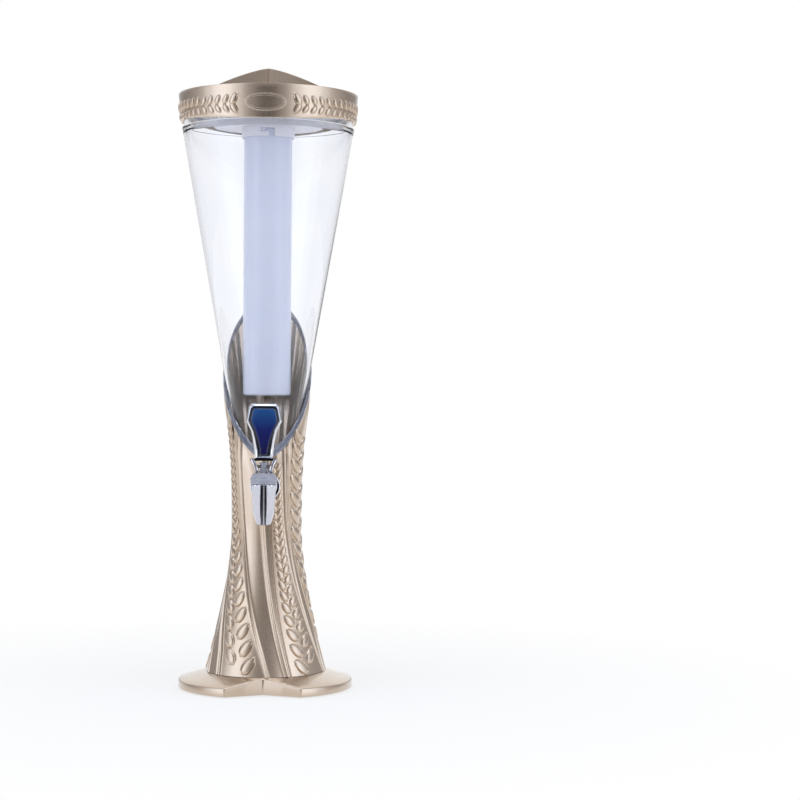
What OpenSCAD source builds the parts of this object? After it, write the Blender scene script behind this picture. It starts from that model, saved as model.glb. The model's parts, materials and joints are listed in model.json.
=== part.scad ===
// Table-top drink tower: a clear cone in a fluted wheat-ear column, with a lever tap,
// a hanging ice tube and a lift-off lid. The tap side faces -Y and Z points up.
// Lengths are millimetres and angles are degrees. The origin is the middle of the footprint.

/* [Base] */
// Diameter of the round base
base_d = 173; // [168:1:180]
// Height of the base's upright edge
base_edge_h = 8.2; // [7.6:0.2:12]
// Height of the rubber feet below the base
foot_h = 1.2; // [0.8:0.2:2.4]
// Rise of the base's sloping top from its edge to the column
base_rise = 8; // [7:0.5:12]
// Distance from the axis to the point of the glass notch
notch_reach = 62.5; // [62:0.5:66]
// Width of the glass notch at the base's edge
notch_w = 74; // [60:1:84]
// Wall of the base moulding
base_wall = 3; // [2.6:0.2:3.4]
// Thickness of the steel ballast ring
ballast_t = 7; // [4:0.5:8]

/* [Column] */
// Diameter of the column where it stands on the base
column_foot_d = 118.8; // [114:0.6:120]
// Diameter that the waist tends to
waist_d = 65.2; // [64:0.2:68]
// Height of the waist above the table
waist_z = 166; // [155:1:172]
// Wall of the column moulding
column_wall = 2.2; // [1.8:0.1:2.6]
// Height of the slanting top edge at the axis
cut_z = 293.5; // [290:0.5:300]
// Slant of the top edge from horizontal
cut_slant = 57.7; // [52:0.1:59]
// Height of the ribs beside the smooth bands
rib_h = 0.9; // [0.4:0.1:1.2]
// Depth of the groove beside each wheat band
groove_depth = 1.2; // [0.4:0.1:1.4]
// Turn of the ribs round the column on the way up
rib_turn = 33; // [20:0.5:36]
// Width of the clear trim on the slanting edge
trim_h = 3; // [2:0.2:5]

/* [Vessel] */
// Outer diameter of the clear cone below its rim
vessel_d = 171.4; // [168:0.2:174]
// Height of the cone's shoulder, which carries the lid, above the table
shoulder_z = 556.5; // [550:0.5:562]
// Height of the rim above the shoulder
rim_h = 9.5; // [8:0.5:11]
// Half angle of the cone
vessel_taper = 10; // [9.8:0.1:10.2]
// Wall of the cone
vessel_wall = 2.5; // [2:0.1:3]
// Wall of the stiffened rim
rim_wall = 3.6; // [3:0.1:5]
// Outer diameter of the outlet well under the cone
well_d = 55; // [54:0.5:56]

/* [Ice tube] */
// Outer diameter of the ice tube at its mouth
tube_d = 48; // [40:0.5:50]
// Wall of the ice tube
tube_wall = 1.8; // [1.4:0.1:2.4]
// Height of the closed end above the table
tube_end_z = 291; // [285:0.5:330]
// Depth of the bayonet collar under the lid's plug
collar_h = 10; // [9.5:0.5:14]
// Turn between locked and free
twist_angle = 18; // [12:1:30]

/* [Lid] */
// Height of the wheat band round the lid
band_h = 32.4; // [28:0.2:40]
// Outward lean of the band over its height
band_lean = 3.8; // [2:0.2:5]
// How far the band's lower edge rises from the front to the sides
band_wave = 7; // [4:0.5:8]
// Wall of the lid mouldings
lid_wall = 2.2; // [1.8:0.1:2.6]
// Height of the crown above the band
crown_h = 28.3; // [22:0.1:34]
// Angle between the walls of the crown's finger notch
grip_angle = 160; // [120:1:170]
// Width of the bare oval plaque
plaque_w = 40; // [30:1:50]
// Height of the bare oval plaque
plaque_h = 18; // [14:1:20]
// Diameter of the plug that hangs into the cone
plug_d = 108; // [90:1:130]

/* [Tap] */
// Distance from the column's axis to the spout
tap_reach = 75; // [72:0.5:76]
// Height of the inlet above the table
tap_z = 202; // [200:0.5:206]
// Diameter of the spout's body
spout_d = 25; // [23.5:0.5:26]
// Length of the spout below the inlet
spout_l = 35; // [31:1:44]
// Diameter of the spout's mouth
mouth_d = 12.8; // [12:0.2:16]
// Diameter of the arm that joins the spout to the cone
arm_d = 21.6; // [20:0.2:22]
// Diameter of the threaded shank
shank_d = 14; // [13:0.5:15]
// Bore of the shank
shank_bore = 8; // [6:0.5:9]
// Lift of the valve when the handle is fully forward
valve_lift = 2.5; // [1.5:0.1:3]
// Forward swing of the handle
swing_angle = 50; // [30:1:55]
// Height of the handle above its yoke
handle_h = 52.8; // [45:0.2:60]
// Greatest width of the handle
handle_w = 34.4; // [30:0.2:38]
// Thickness of the handle
handle_t = 9; // [8:0.5:10]
// Diameter of the pivot pin
pin_d = 3; // [2.4:0.1:3.2]

/* [Hidden] */
$fn = 72;
EPS = 0.01;                // overlap that makes a cut clean
GAP = 0.3;                 // clearance between pieces that stand apart
RUN = 0.05;                // radial clearance of a part that turns or slides

FOOT_ANGLES = [for (i = [0:4]) 36 + i * 72];

GOLD = [0.76, 0.67, 0.57];
CLEAR = [0.86, 0.90, 0.97, 0.35];
MILKY = [0.79, 0.80, 0.90];
FROST = [0.79, 0.78, 0.84];
CHROME = [0.85, 0.86, 0.88];
BLACK = [0.10, 0.10, 0.11];
STEEL = [0.60, 0.61, 0.63];
SILICONE = [0.90, 0.90, 0.92];
BLUE = [0.04, 0.23, 0.50];

// ---- fasteners ----
screw_r = 1.5;                             // shank of every self-tapping screw
screw_head_r = 2.8;
screw_head_h = 1.4;

// ---- base ----
base_r = base_d / 2;
base_z = foot_h;                           // underside of the base moulding
base_edge_z = base_z + base_edge_h;        // top of the upright edge
deck_z = base_edge_z + base_rise;          // the column stands here
column_foot_r = column_foot_d / 2;
notch_half = atan(notch_w / 2 / (sqrt(pow(base_r, 2) - pow(notch_w / 2, 2)) - notch_reach));
cover_t = 2.4;
cover_z = base_z + cover_t;                // top of the cover
ballast_z = cover_z + ballast_t;
ballast_in = 22;
ballast_out = column_foot_r - 7;
rib_in = 30;                               // stop rib that holds the ballast down
flange_w = 20;                             // width of the column's inward foot flange
flange_t = 6;
flange_r = column_foot_r - flange_w;
spigot_wall = 2.5;
spigot_h = 5;
column_screw_ring = column_foot_r - 12.5;
COLUMN_SCREWS = [45, 135, 225, 315];
cover_screw_ring = base_r - 11.5;
COVER_SCREWS = [72, 144, 216, 288];
boss_r = 4;
foot_pad_r = 7;
foot_pad_t = 1;                            // how deep a foot sits in the cover
foot_ring_r = base_r - 18;

// ---- clear cone ----
vessel_top_r = vessel_d / 2;
vessel_slope = tan(vessel_taper);
rim_r = vessel_top_r - 1.5;
rim_z = shoulder_z + rim_h;
well_r = well_d / 2;
well_top_z = shoulder_z - (vessel_top_r - well_r) / vessel_slope;
well_floor_z = tap_z - 16;
floor_t = 3;
pad_out = well_r + 2;                      // flat face that the tap's arm clamps on
pad_in = well_r - 4.5;                     // flat face inside, for the nut
pad_r = 10.5;
stub_r = 12;
stub_l = 15;
washer_t = 2;
function cone_r(z) = vessel_top_r - vessel_slope * (shoulder_z - z);
function vessel_r(z) = max(well_r, cone_r(z));

// ---- column ----
// Profile: a soft maximum of the waist and of the cone's wall, plus the flare of the foot.
waist_r = waist_d / 2;
waist_blend = 8;                           // width of the blend between waist and cone
flare_blend = 0.57;                        // roundness of the foot's flare
cup_gap = 0.8;                             // clearance between the column and the cone
foot_z = deck_z;
ledge_z = well_floor_z - washer_t;         // the vessel's washer lies on this ledge
ledge_t = 4;
ledge_r = stub_r + 0.5;
flange_z = foot_z + flange_t;
hole_r = arm_d / 2 + 0.5;
upper_z = tap_z + 16;                      // above this, the rings lean with the slanting edge
function soft_max(a, b, w) = (a + b + sqrt(pow(a - b, 2) + w * w)) / 2;
function stem_r(z) = soft_max(waist_r, cone_r(z) + column_wall + cup_gap, waist_blend);
function flare(t) = (sqrt(pow(flare_blend, 2) + t * t) - flare_blend)
  / (sqrt(pow(flare_blend, 2) + 1) - flare_blend);
function below_waist(z) = max(0, min(1, (waist_z - z) / (waist_z - foot_z)));
function column_r(z) = stem_r(z) + (column_foot_r - stem_r(foot_z)) * flare(below_waist(z));

// Ribs and bands: five periods round the column, each a smooth band, a rib, a plain strip with a
// groove, a wheat band and a rib.
PERIODS = 5;
period = 360 / PERIODS;
rib_foot_turn = 10;                        // azimuth of the front's smooth band at the foot
rib_rise = 230;                            // height over which the ribs turn
// angles from the smooth band's middle, at the foot and at the waist
SMOOTH_HALF = [6.6, 9.5];
RIB_END = [11.6, 17.5];
STRIP_END = [12.1, 25.5];
WHEAT_START = [15.7, 28.5];
WHEAT_END = [60.3, 50.5];
SMOOTH_STEPS = [-1, 0, 1];
RIB_STEPS = [0.25, 0.5, 0.75];
WHEAT_STEPS = [0, 0.33, 0.67, 1];
STEPS = len(SMOOTH_STEPS) + 2 * len(RIB_STEPS) + len(WHEAT_STEPS) + 3;
STRINGS = PERIODS * STEPS;
function turn(z) = rib_foot_turn - rib_turn * sin(90 * min(1, (z - foot_z) / rib_rise));
function edge(ends, z) = ends[1] + (ends[0] - ends[1]) * below_waist(z);
function between(a, b, s) = a + (b - a) * s;
function rib_top(s) = s == 0.5 ? 0 : rib_h;
// one period of the section, as [angle, height] pairs
function section(z) =
  let (half = edge(SMOOTH_HALF, z), strip = edge(STRIP_END, z))
  let (start = edge(WHEAT_START, z), end = edge(WHEAT_END, z))
  concat(
    [for (s = SMOOTH_STEPS) [s * half, 0]],
    [for (s = RIB_STEPS) [between(half, edge(RIB_END, z), s), rib_top(s)]],
    [[edge(RIB_END, z), 0], [strip, 0], [(strip + start) / 2, -groove_depth]],
    [for (s = WHEAT_STEPS) [between(start, end, s), 0]],
    [for (s = RIB_STEPS) [between(end, period - half, s), rib_top(s)]]
  );
function string_angle(i, z) = turn(z) + floor(i / STEPS) * period + section(z)[i % STEPS][0];
function outer_r(i, z) = column_r(z) + section(z)[i % STEPS][1];
function inner_r(i, z) = max(outer_r(i, z) - column_wall, vessel_r(z) + cup_gap / 2);
function wall_r(i, z, inside) = inside ? inner_r(i, z) : outer_r(i, z);
// azimuth 0 is the front and positive angles turn towards +X
function at(angle, r, z) = [r * sin(angle), -r * cos(angle), z];
function wall_point(i, z, inside) = at(string_angle(i, z), wall_r(i, z, inside), z);
// the height where a string of the wall meets the slanting plane, by halving
function edge_z(i, inside, low, high, n) =
  let (mid = (low + high) / 2)
  n == 0 ? mid
  : cut_z + tan(cut_slant) * wall_point(i, mid, inside)[1] > mid
    ? edge_z(i, inside, mid, high, n - 1)
    : edge_z(i, inside, low, mid, n - 1);

// ---- lid ----
band_top_z = shoulder_z + 0.5 + band_h;
band_low_z = shoulder_z + GAP;             // lowest points of the band's edge, front and back
band_top_r = vessel_top_r + band_lean;
seal_t = 1.5;
plug_z = rim_z + seal_t;                   // underside of the plug's flange
plug_flange_t = 2.5;
plug_flange_r = rim_r - 1;
plug_r = plug_d / 2;
plug_wall = 2;
plug_low_z = shoulder_z - 0.5;
plug_floor_z = plug_low_z + plug_wall;
shelf_z = plug_z + plug_flange_t;          // shelf inside the band
shelf_t = 2.4;
shelf_in = 58;
skirt_z = shelf_z + shelf_t;
crown_gap = 0.2;
crown_r = band_top_r - lid_wall - crown_gap;
grip_apex = 6;                             // distance from the axis to the finger notch's point
grip_half = grip_angle / 2;
grip_z = band_top_z - 4;                   // floor of the finger notch
lid_screw_ring = 66;
LID_SCREWS = [60, 120, 240, 300];
wave_r = pow(band_top_r, 2) / (2 * band_wave);
function band_r(z) = vessel_top_r + band_lean * (z - shoulder_z) / (band_top_z - shoulder_z);
// share of the crown's height at a share of its radius: a dome inside a level ring
function crown_rise(t) = max(0, 1 - 0.78 * t - 0.6 * t * t);

// ---- ice tube and its bayonet ----
tube_r = tube_d / 2;
tube_end_r = tube_r - 0.6;
tube_seal_t = 2.2;
tube_top_z = plug_low_z - tube_seal_t;
collar_in = tube_r + 0.5;
collar_out = collar_in + 1.8;
collar_z = plug_low_z - collar_h;
lug_h = 2.4;
lug_half = 5;                              // half angle that a lug covers
lug_z = tube_top_z - lug_h;
slot_play = 0.3;
slot_half = lug_half + 1;
BAYONETS = [0, 120, 240];

// ---- tap: heights and depths are measured from the point where inlet and spout cross ----
spout_r = spout_d / 2;
mouth_r = mouth_d / 2;
arm_r = arm_d / 2;
shank_r = shank_d / 2;
bore_r = shank_bore / 2;
pin_r = pin_d / 2;
gasket_t = 2;
arm_l = tap_reach - pad_out - gasket_t;
collar_r = 14.8;                           // cover ring on the arm, just outside the column
collar_t = 3;
collar_y = tap_reach - column_r(tap_z + collar_r) - rib_h - 0.5 - collar_t;
nut_gasket_t = 1.5;
nut_t = 5;
nut_r = 10.4;
shank_l = tap_reach - pad_in + nut_gasket_t + nut_t + 1;
body_top = 4.3;
neck_top = 11;
neck_r = 10.4;
bonnet_top = 14.8;
bonnet_r = 13.3;
bonnet_plate_t = 2.4;
chamber_r = 8.2;
outlet_r = 4.6;
passage_r = 3.2;                           // from the shank's bore into the chamber
passage_drop = 1;
hip_z = 0.5 * spout_l;                     // below the inlet, where the spout draws in
hip_r = 0.86 * spout_r;
FACETS = 10;
seat_z = -6;
seal_r = 7;
seal_h = 4;
stem_r_tap = 3;
collar_r_tap = 7;
collar_t_tap = 1.2;
head_half = 5;
head_low = bonnet_top + 0.6;
pin_z = bonnet_top + 6.2;
head_up = 4;                               // from the pin to the top of the stem's head
head_top = pin_z + head_up;
heel_r = pin_z - bonnet_top - 0.2;         // from the pin to the flat of the heel
cam_rate = valve_lift / (swing_angle * PI / 180);
CAM_STEPS = 10;
prong_in = head_half + GAP;
prong_low_out = 9.35;
prong_top_out = 13;
prong_half_t = 4.4;
yoke_bar_z = pin_z + norm([head_up, stem_r_tap]) + 0.6;
yoke_top = yoke_bar_z + 2.1;
pin_half = 8.8;
// handle outline, as shares of its height and of its greatest width
HANDLE = [[0, 0.50], [0.16, 0.53], [0.33, 0.61], [0.70, 1], [1, 0.70]];
inlay_edge = 4.6;                          // chrome border left round the inlay
inlay_t = 1;
inlay_gap = 0.15;

// spring: an unbroken round wire that winds up from the stem's collar to the bonnet
spring_r = 5.4;
spring_wire = 0.6;
spring_turns = 5;
spring_z0 = seat_z + seal_h + collar_t_tap + spring_wire;
spring_z1 = bonnet_top - bonnet_plate_t - spring_wire;
SPRING_RINGS = spring_turns * 8;
echo(spring_gap = (spring_z1 - spring_z0) / spring_turns - 2 * spring_wire);

// ================= shared shapes =================

// wedge that opens towards -Y from a point at distance reach, its faces moved out by grow
module wedge(reach, half, grow, z0, z1) {
  far = 200;
  translate([0, -reach + grow / sin(half), z0])
    linear_extrude(z1 - z0)
      polygon([[0, 0], [far * tan(half), -far], [-far * tan(half), -far]]);
}

// plain ring with a rectangular section
module ring(r_in, r_out, z0, z1) {
  translate([0, 0, z0])
    difference() {
      cylinder(h = z1 - z0, r = r_out);
      translate([0, 0, -EPS]) cylinder(h = z1 - z0 + 2 * EPS, r = r_in);
    }
}

// part of a ring between two azimuths
module ring_sector(r_in, r_out, a0, a1, z0, z1) {
  rotate([0, 0, a0 - 90])
    rotate_extrude(angle = a1 - a0)
      translate([r_in, z0]) square([r_out - r_in, z1 - z0]);
}

// self-tapping countersunk screw that points up, with the flat of its head at z = 0
module screw(length) {
  cone_l = 1.4;
  difference() {
    union() {
      cylinder(h = screw_head_h, r1 = screw_head_r, r2 = screw_r, $fn = 24);
      cylinder(h = length - cone_l, r = screw_r, $fn = 24);
      translate([0, 0, length - cone_l]) cylinder(h = cone_l, r1 = screw_r, r2 = 0.4, $fn = 24);
    }
    for (a = [0, 90])
      rotate([0, 0, a]) translate([-1.7, -0.3, -EPS]) cube([3.4, 0.6, 0.8]);
  }
}

// the hole that such a screw passes through, with its countersink
module screw_hole(depth) {
  translate([0, 0, -EPS])
    cylinder(h = screw_head_h + EPS, r1 = screw_head_r + RUN, r2 = screw_r + RUN, $fn = 24);
  cylinder(h = depth, r = screw_r + RUN, $fn = 24);
}

// places children at each azimuth of a list, at radius r
module around(angles, r) {
  for (a = angles)
    rotate([0, 0, a - 90]) translate([r, 0, 0]) children();
}

// everything above the slanting plane, moved up by lift
module above_cut(lift) {
  big = 400;
  translate([0, 0, cut_z + lift])
    rotate([cut_slant, 0, 0])
      translate([-big / 2, -big / 2, 0]) cube([big, big, big]);
}

// ================= base =================

module base_form(wall) {
  rotate_extrude()
    polygon([
      [0, base_z], [base_r - wall, base_z], [base_r - wall, base_edge_z - wall],
      [column_foot_r, deck_z - wall], [0, deck_z - wall]
    ]);
}

module base_plate() {
  color(GOLD) difference() {
    union() {
      base_form(0);
      ring(flange_r - GAP - spigot_wall, flange_r - GAP, deck_z - 1, deck_z + spigot_h);
    }
    difference() {
      translate([0, 0, -EPS]) base_form(base_wall);
      wedge(notch_reach, notch_half, base_wall, 0, deck_z);
      around(COVER_SCREWS, cover_screw_ring) translate([0, 0, cover_z]) cylinder(h = deck_z, r = boss_r);
      ring(rib_in, rib_in + base_wall, ballast_z, deck_z);
    }
    wedge(notch_reach, notch_half, 0, -1, deck_z + spigot_h);
    around(COVER_SCREWS, cover_screw_ring)
      translate([0, 0, base_z]) cylinder(h = base_edge_h - 1, r = screw_r, $fn = 24);
    around(COLUMN_SCREWS, column_screw_ring) translate([0, 0, deck_z - base_wall]) screw_hole(base_wall + 1);
  }
}

module base_cover() {
  color(BLACK) difference() {
    translate([0, 0, base_z]) cylinder(h = cover_t, r = base_r - base_wall - GAP);
    wedge(notch_reach, notch_half, base_wall + GAP, 0, deck_z);
    around(COVER_SCREWS, cover_screw_ring) translate([0, 0, base_z]) screw_hole(cover_t + 1);
    around(FOOT_ANGLES, foot_ring_r)
      translate([0, 0, base_z - 1]) cylinder(h = 1 + foot_pad_t, r = foot_pad_r + 0.1);
  }
}

module ballast_ring() {
  color(STEEL) ring(ballast_in, ballast_out, cover_z, ballast_z);
}

module foot(i) {
  color(BLACK) around([FOOT_ANGLES[i]], foot_ring_r)
    cylinder(h = base_z + foot_pad_t, r = foot_pad_r);
}

module cover_screws() {
  color(STEEL) around(COVER_SCREWS, cover_screw_ring)
    translate([0, 0, base_z]) screw(base_edge_h - 1.4);
}

module column_screws() {
  color(STEEL) around(COLUMN_SCREWS, column_screw_ring)
    translate([0, 0, deck_z - base_wall]) screw(base_wall + flange_t - 1);
}

// ================= column =================

LOWER = [for (i = [0:11]) foot_z + (upper_z - foot_z) * pow(i / 11, 1.25)];
UPPER = [for (i = [1:8]) i / 8];

// one ring of the wall at a fixed height
function level_ring(z, inside) = [for (i = [0:STRINGS - 1]) wall_point(i, z, inside)];
// one ring of the wall between the last level ring and the slanting edge
function leaning_ring(s, inside) = [
  for (i = [0:STRINGS - 1])
    wall_point(i, upper_z + s * (edge_z(i, inside, upper_z, 420, 16) - upper_z), inside)
];
// widest angle between two strings, at the foot
widest_step = (WHEAT_END[0] - WHEAT_START[0]) * (WHEAT_STEPS[2] - WHEAT_STEPS[1]);
// one round ring, for the ledge and the flange: its flats stay outside r
function round_ring(r, z) =
  [for (i = [0:STRINGS - 1]) at(string_angle(i, z), r / cos(widest_step / 2), z)];

COLUMN_RINGS = concat(
  [for (z = LOWER) level_ring(z, false)],
  [for (s = UPPER) leaning_ring(s, false)],
  [for (k = [len(UPPER) - 1:-1:0]) leaning_ring(UPPER[k], true)],
  [level_ring(upper_z, true), level_ring(ledge_z, true)],
  [round_ring(ledge_r, ledge_z), round_ring(ledge_r, ledge_z - ledge_t)],
  [level_ring(ledge_z - ledge_t, true)],
  [for (k = [len(LOWER) - 1:-1:0])
    if (LOWER[k] < ledge_z - ledge_t - 4 && LOWER[k] > flange_z + 4) level_ring(LOWER[k], true)],
  [level_ring(flange_z, true)],
  [round_ring(flange_r, flange_z), round_ring(flange_r, foot_z)]
);

// skin over a closed stack of rings that all have n points
function stack_faces(rings, n) = [
  for (k = [0:rings - 1], i = [0:n - 1])
    let (a = k * n + i, b = k * n + (i + 1) % n, up = ((k + 1) % rings) * n)
    each [[a, up + i, up + (i + 1) % n], [a, up + (i + 1) % n, b]]
];

module column_shell() {
  color(GOLD) difference() {
    polyhedron([for (r = COLUMN_RINGS) each r], stack_faces(len(COLUMN_RINGS), STRINGS));
    translate([0, -15, tap_z]) rotate([90, 0, 0]) cylinder(h = 50, r = hole_r);
    around(COLUMN_SCREWS, column_screw_ring)
      translate([0, 0, foot_z - 1]) cylinder(h = flange_t, r = screw_r, $fn = 24);
  }
}

// a clear strip that sits on the slanting edge of the column
module opening_trim() {
  low = cut_z - 75;
  high = cut_z + 110;
  slices = 12;
  color(CLEAR) intersection() {
    rotate_extrude()
      polygon(concat(
        [for (i = [0:slices]) let (z = low + (high - low) * i / slices) [column_r(z) + 0.8, z]],
        [for (i = [slices:-1:0]) let (z = low + (high - low) * i / slices) [cone_r(z) + cup_gap / 2, z]]
      ));
    difference() {
      above_cut(0);
      above_cut(trim_h);
    }
  }
}

// ================= vessel =================

module vessel() {
  inside = vessel_wall / cos(vessel_taper);
  rim_in = rim_r - rim_wall;
  color(CLEAR) difference() {
    union() {
      rotate_extrude()
        polygon([
          [0, well_floor_z], [well_r, well_floor_z], [well_r, well_top_z],
          [vessel_top_r, shoulder_z], [rim_r, shoulder_z], [rim_r, rim_z],
          [rim_in, rim_z], [rim_in, shoulder_z],
          [cone_r(shoulder_z - 6) - inside, shoulder_z - 6],
          [well_r - vessel_wall, well_top_z], [well_r - vessel_wall, well_floor_z + floor_t],
          [0, well_floor_z + floor_t]
        ]);
      translate([0, 0, well_floor_z - stub_l]) cylinder(h = stub_l + 1, r = stub_r);
      translate([0, -pad_in, tap_z]) rotate([90, 0, 0]) cylinder(h = pad_out - pad_in, r = pad_r);
    }
    translate([0, 0, well_floor_z - stub_l - 1]) cylinder(h = stub_l, r = stub_r - 2.5);
    translate([0, -pad_in + 1, tap_z]) rotate([90, 0, 0]) cylinder(h = pad_out, r = shank_r + 0.1);
  }
}

module vessel_washer() {
  color(SILICONE) ring(stub_r + 0.2, well_r - 1, ledge_z, well_floor_z);
}

module vessel_lock_nut() {
  color(BLACK) translate([0, 0, ledge_z - ledge_t - 6])
    difference() {
      cylinder(h = 6, r = 20, $fn = 8);
      translate([0, 0, -1]) cylinder(h = 8, r = stub_r + RUN);
    }
}

// ================= ice tube =================

module ice_tube() {
  end_round = 3;
  inner_end = tube_end_z + tube_wall;
  color(MILKY) {
    rotate_extrude()
      polygon(concat(
        [[0, tube_end_z]],
        [for (a = [0:15:90])
          [tube_end_r - end_round * (1 - sin(a)), tube_end_z + end_round * (1 - cos(a))]],
        [[tube_r, tube_top_z], [tube_r - tube_wall, tube_top_z]],
        [[tube_end_r - tube_wall, inner_end + 1], [tube_end_r - tube_wall - 1, inner_end], [0, inner_end]]
      ));
    for (a = BAYONETS)
      ring_sector(tube_r - 0.5, collar_out - GAP, a - twist_angle / 2 - lug_half,
        a - twist_angle / 2 + lug_half, lug_z, lug_z + lug_h);
  }
}

module ice_tube_seal() {
  color(SILICONE) ring(tube_r - tube_wall - 1, tube_r, tube_top_z, plug_low_z);
}

// ================= lid =================

module lid_plug() {
  open_half = twist_angle / 2 + slot_half;
  color(FROST) difference() {
    union() {
      rotate_extrude()
        polygon([
          [0, plug_low_z], [plug_r, plug_low_z], [plug_r, plug_z], [plug_flange_r, plug_z],
          [plug_flange_r, shelf_z], [plug_r - plug_wall, shelf_z],
          [plug_r - plug_wall, plug_floor_z], [0, plug_floor_z]
        ]);
      ring(collar_in, collar_out, collar_z, plug_low_z + plug_wall / 2);
    }
    for (a = BAYONETS) {
      ring_sector(collar_in - 1, collar_out + 1, a - open_half, a + open_half,
        lug_z - slot_play, lug_z + lug_h + slot_play);
      ring_sector(collar_in - 2, collar_out + 2, a + twist_angle / 2 - slot_half, a + open_half - 0.5,
        collar_z - 1, lug_z + lug_h / 2);
    }
    around(LID_SCREWS, lid_screw_ring) translate([0, 0, plug_z]) screw_hole(plug_flange_t + 1);
  }
}

module lid_seal() {
  color(SILICONE) ring(rim_r - rim_wall, plug_flange_r, rim_z, plug_z);
}

module lid_band() {
  lip_in = rim_r + GAP;
  lip_top = plug_z - GAP;
  color(GOLD) difference() {
    rotate_extrude()
      polygon([
        [band_r(band_low_z), band_low_z], [band_top_r, band_top_z],
        [band_top_r - lid_wall, band_top_z], [band_r(skirt_z) - lid_wall, skirt_z],
        [shelf_in, skirt_z], [shelf_in, shelf_z], [lip_in, shelf_z], [lip_in, band_low_z]
      ]);
    // the lower edge is lowest at the front and back, and rises to the sides
    difference() {
      translate([-100, -100, band_low_z - 1]) cube([200, 200, band_wave + 2]);
      translate([0, 100, band_low_z + wave_r]) rotate([90, 0, 0]) cylinder(h = 200, r = wave_r, $fn = 360);
    }
    around(LID_SCREWS, lid_screw_ring)
      translate([0, 0, shelf_z - 1]) cylinder(h = shelf_t + 2, r = screw_r + RUN);
    plaque_recess();
  }
}

// shallow oval on the front of the band, left bare
module plaque_recess() {
  depth = 0.7;
  mid_z = shoulder_z + 15;
  intersection() {
    translate([0, 0, mid_z]) rotate([90, 0, 0])
      linear_extrude(100) scale([plaque_w / plaque_h, 1]) circle(d = plaque_h);
    rotate_extrude()
      polygon([
        [band_r(band_low_z) - depth, band_low_z], [band_top_r - depth, band_top_z],
        [band_top_r + 5, band_top_z], [band_top_r + 5, band_low_z]
      ]);
  }
}

module crown_form(wall) {
  steps = 14;
  r = crown_r - wall;
  rotate_extrude()
    polygon(concat(
      [[0, skirt_z], [band_r(skirt_z) - lid_wall - crown_gap - wall, skirt_z]],
      [for (i = [steps:-1:0]) let (t = i / steps) [r * t, band_top_z - wall + crown_h * crown_rise(t)]]
    ));
}

module lid_crown() {
  color(GOLD) difference() {
    crown_form(0);
    difference() {
      translate([0, 0, -EPS]) crown_form(lid_wall);
      wedge(grip_apex, grip_half, lid_wall, grip_z - lid_wall, band_top_z + crown_h);
      around(LID_SCREWS, lid_screw_ring) translate([0, 0, skirt_z]) cylinder(h = crown_h, r = boss_r);
    }
    wedge(grip_apex, grip_half, 0, grip_z, band_top_z + crown_h);
    around(LID_SCREWS, lid_screw_ring) translate([0, 0, skirt_z - 1]) cylinder(h = 8, r = screw_r, $fn = 24);
  }
}

module lid_screws() {
  color(STEEL) around(LID_SCREWS, lid_screw_ring)
    translate([0, 0, plug_z]) screw(plug_flange_t + shelf_t + 6);
}

// ================= tap =================

// moves children into the tap's place
module tap_frame() {
  translate([0, -tap_reach, tap_z]) children();
}

// cylinder along +Y from the spout's axis
module along_y(r, y0, y1) {
  translate([0, y0, 0]) rotate([-90, 0, 0]) cylinder(h = y1 - y0, r = r);
}

module tap_body() {
  color(CHROME) tap_frame() difference() {
    union() {
      translate([0, 0, -spout_l]) cylinder(h = spout_l - hip_z, r1 = mouth_r, r2 = hip_r, $fn = FACETS);
      translate([0, 0, -hip_z]) cylinder(h = hip_z + body_top, r1 = hip_r, r2 = spout_r, $fn = FACETS);
      difference() {
        along_y(arm_r, 0, arm_l);
        translate([0, 0, body_top]) cylinder(h = arm_r, r = bonnet_r + GAP);
      }
      along_y(collar_r, collar_y, collar_y + collar_t);
      translate([0, 0, -2]) cylinder(h = neck_top + 2, r = neck_r);
      along_y(shank_r, arm_l - 1, shank_l);
    }
    translate([0, 0, seat_z]) cylinder(h = neck_top - seat_z + 1, r = chamber_r);
    translate([0, 0, -spout_l - 1]) cylinder(h = spout_l + 2, r = outlet_r);
    along_y(bore_r, bonnet_r + 3, shank_l + 1);
    translate([0, 0, -passage_drop]) along_y(passage_r, 0, bonnet_r + 4);
  }
}

module tap_gasket_outer() {
  color(SILICONE) tap_frame() difference() {
    along_y(pad_r, arm_l, arm_l + gasket_t);
    along_y(shank_r + RUN, arm_l - 1, arm_l + gasket_t + 1);
  }
}

module tap_gasket_inner() {
  start = tap_reach - pad_in;
  color(SILICONE) tap_frame() difference() {
    along_y(nut_r - 1, start, start + nut_gasket_t);
    along_y(shank_r + RUN, start - 1, start + nut_gasket_t + 1);
  }
}

module tap_nut() {
  start = tap_reach - pad_in + nut_gasket_t;
  color(STEEL) tap_frame() difference() {
    translate([0, start, 0]) rotate([-90, 0, 0]) cylinder(h = nut_t, r = nut_r, $fn = 6);
    along_y(shank_r + RUN, start - 1, start + nut_t + 1);
  }
}

module tap_bonnet() {
  color(FROST) tap_frame() difference() {
    translate([0, 0, body_top])
      rotate_extrude()
        polygon([
          [0, 0], [bonnet_r, 0], [bonnet_r, bonnet_top - body_top - 1.5],
          [bonnet_r - 1.5, bonnet_top - body_top], [0, bonnet_top - body_top]
        ]);
    translate([0, 0, body_top - 1])
      cylinder(h = bonnet_top - bonnet_plate_t - body_top + 1, r = neck_r + RUN);
    cylinder(h = bonnet_top + 1, r = stem_r_tap + RUN);
  }
}

module bonnet_washer() {
  color(SILICONE) tap_frame() ring(chamber_r, neck_r, neck_top, bonnet_top - bonnet_plate_t);
}

// points of one ring of the wire: a hexagon across the wire at share s of its length
function wire_ring(s) =
  let (a = 360 * spring_turns * s, z = spring_z0 + (spring_z1 - spring_z0) * s)
  [for (k = [0:5])
    let (r = spring_r + spring_wire * cos(60 * k))
    [r * cos(a), r * sin(a), z + spring_wire * sin(60 * k)]];

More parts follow.
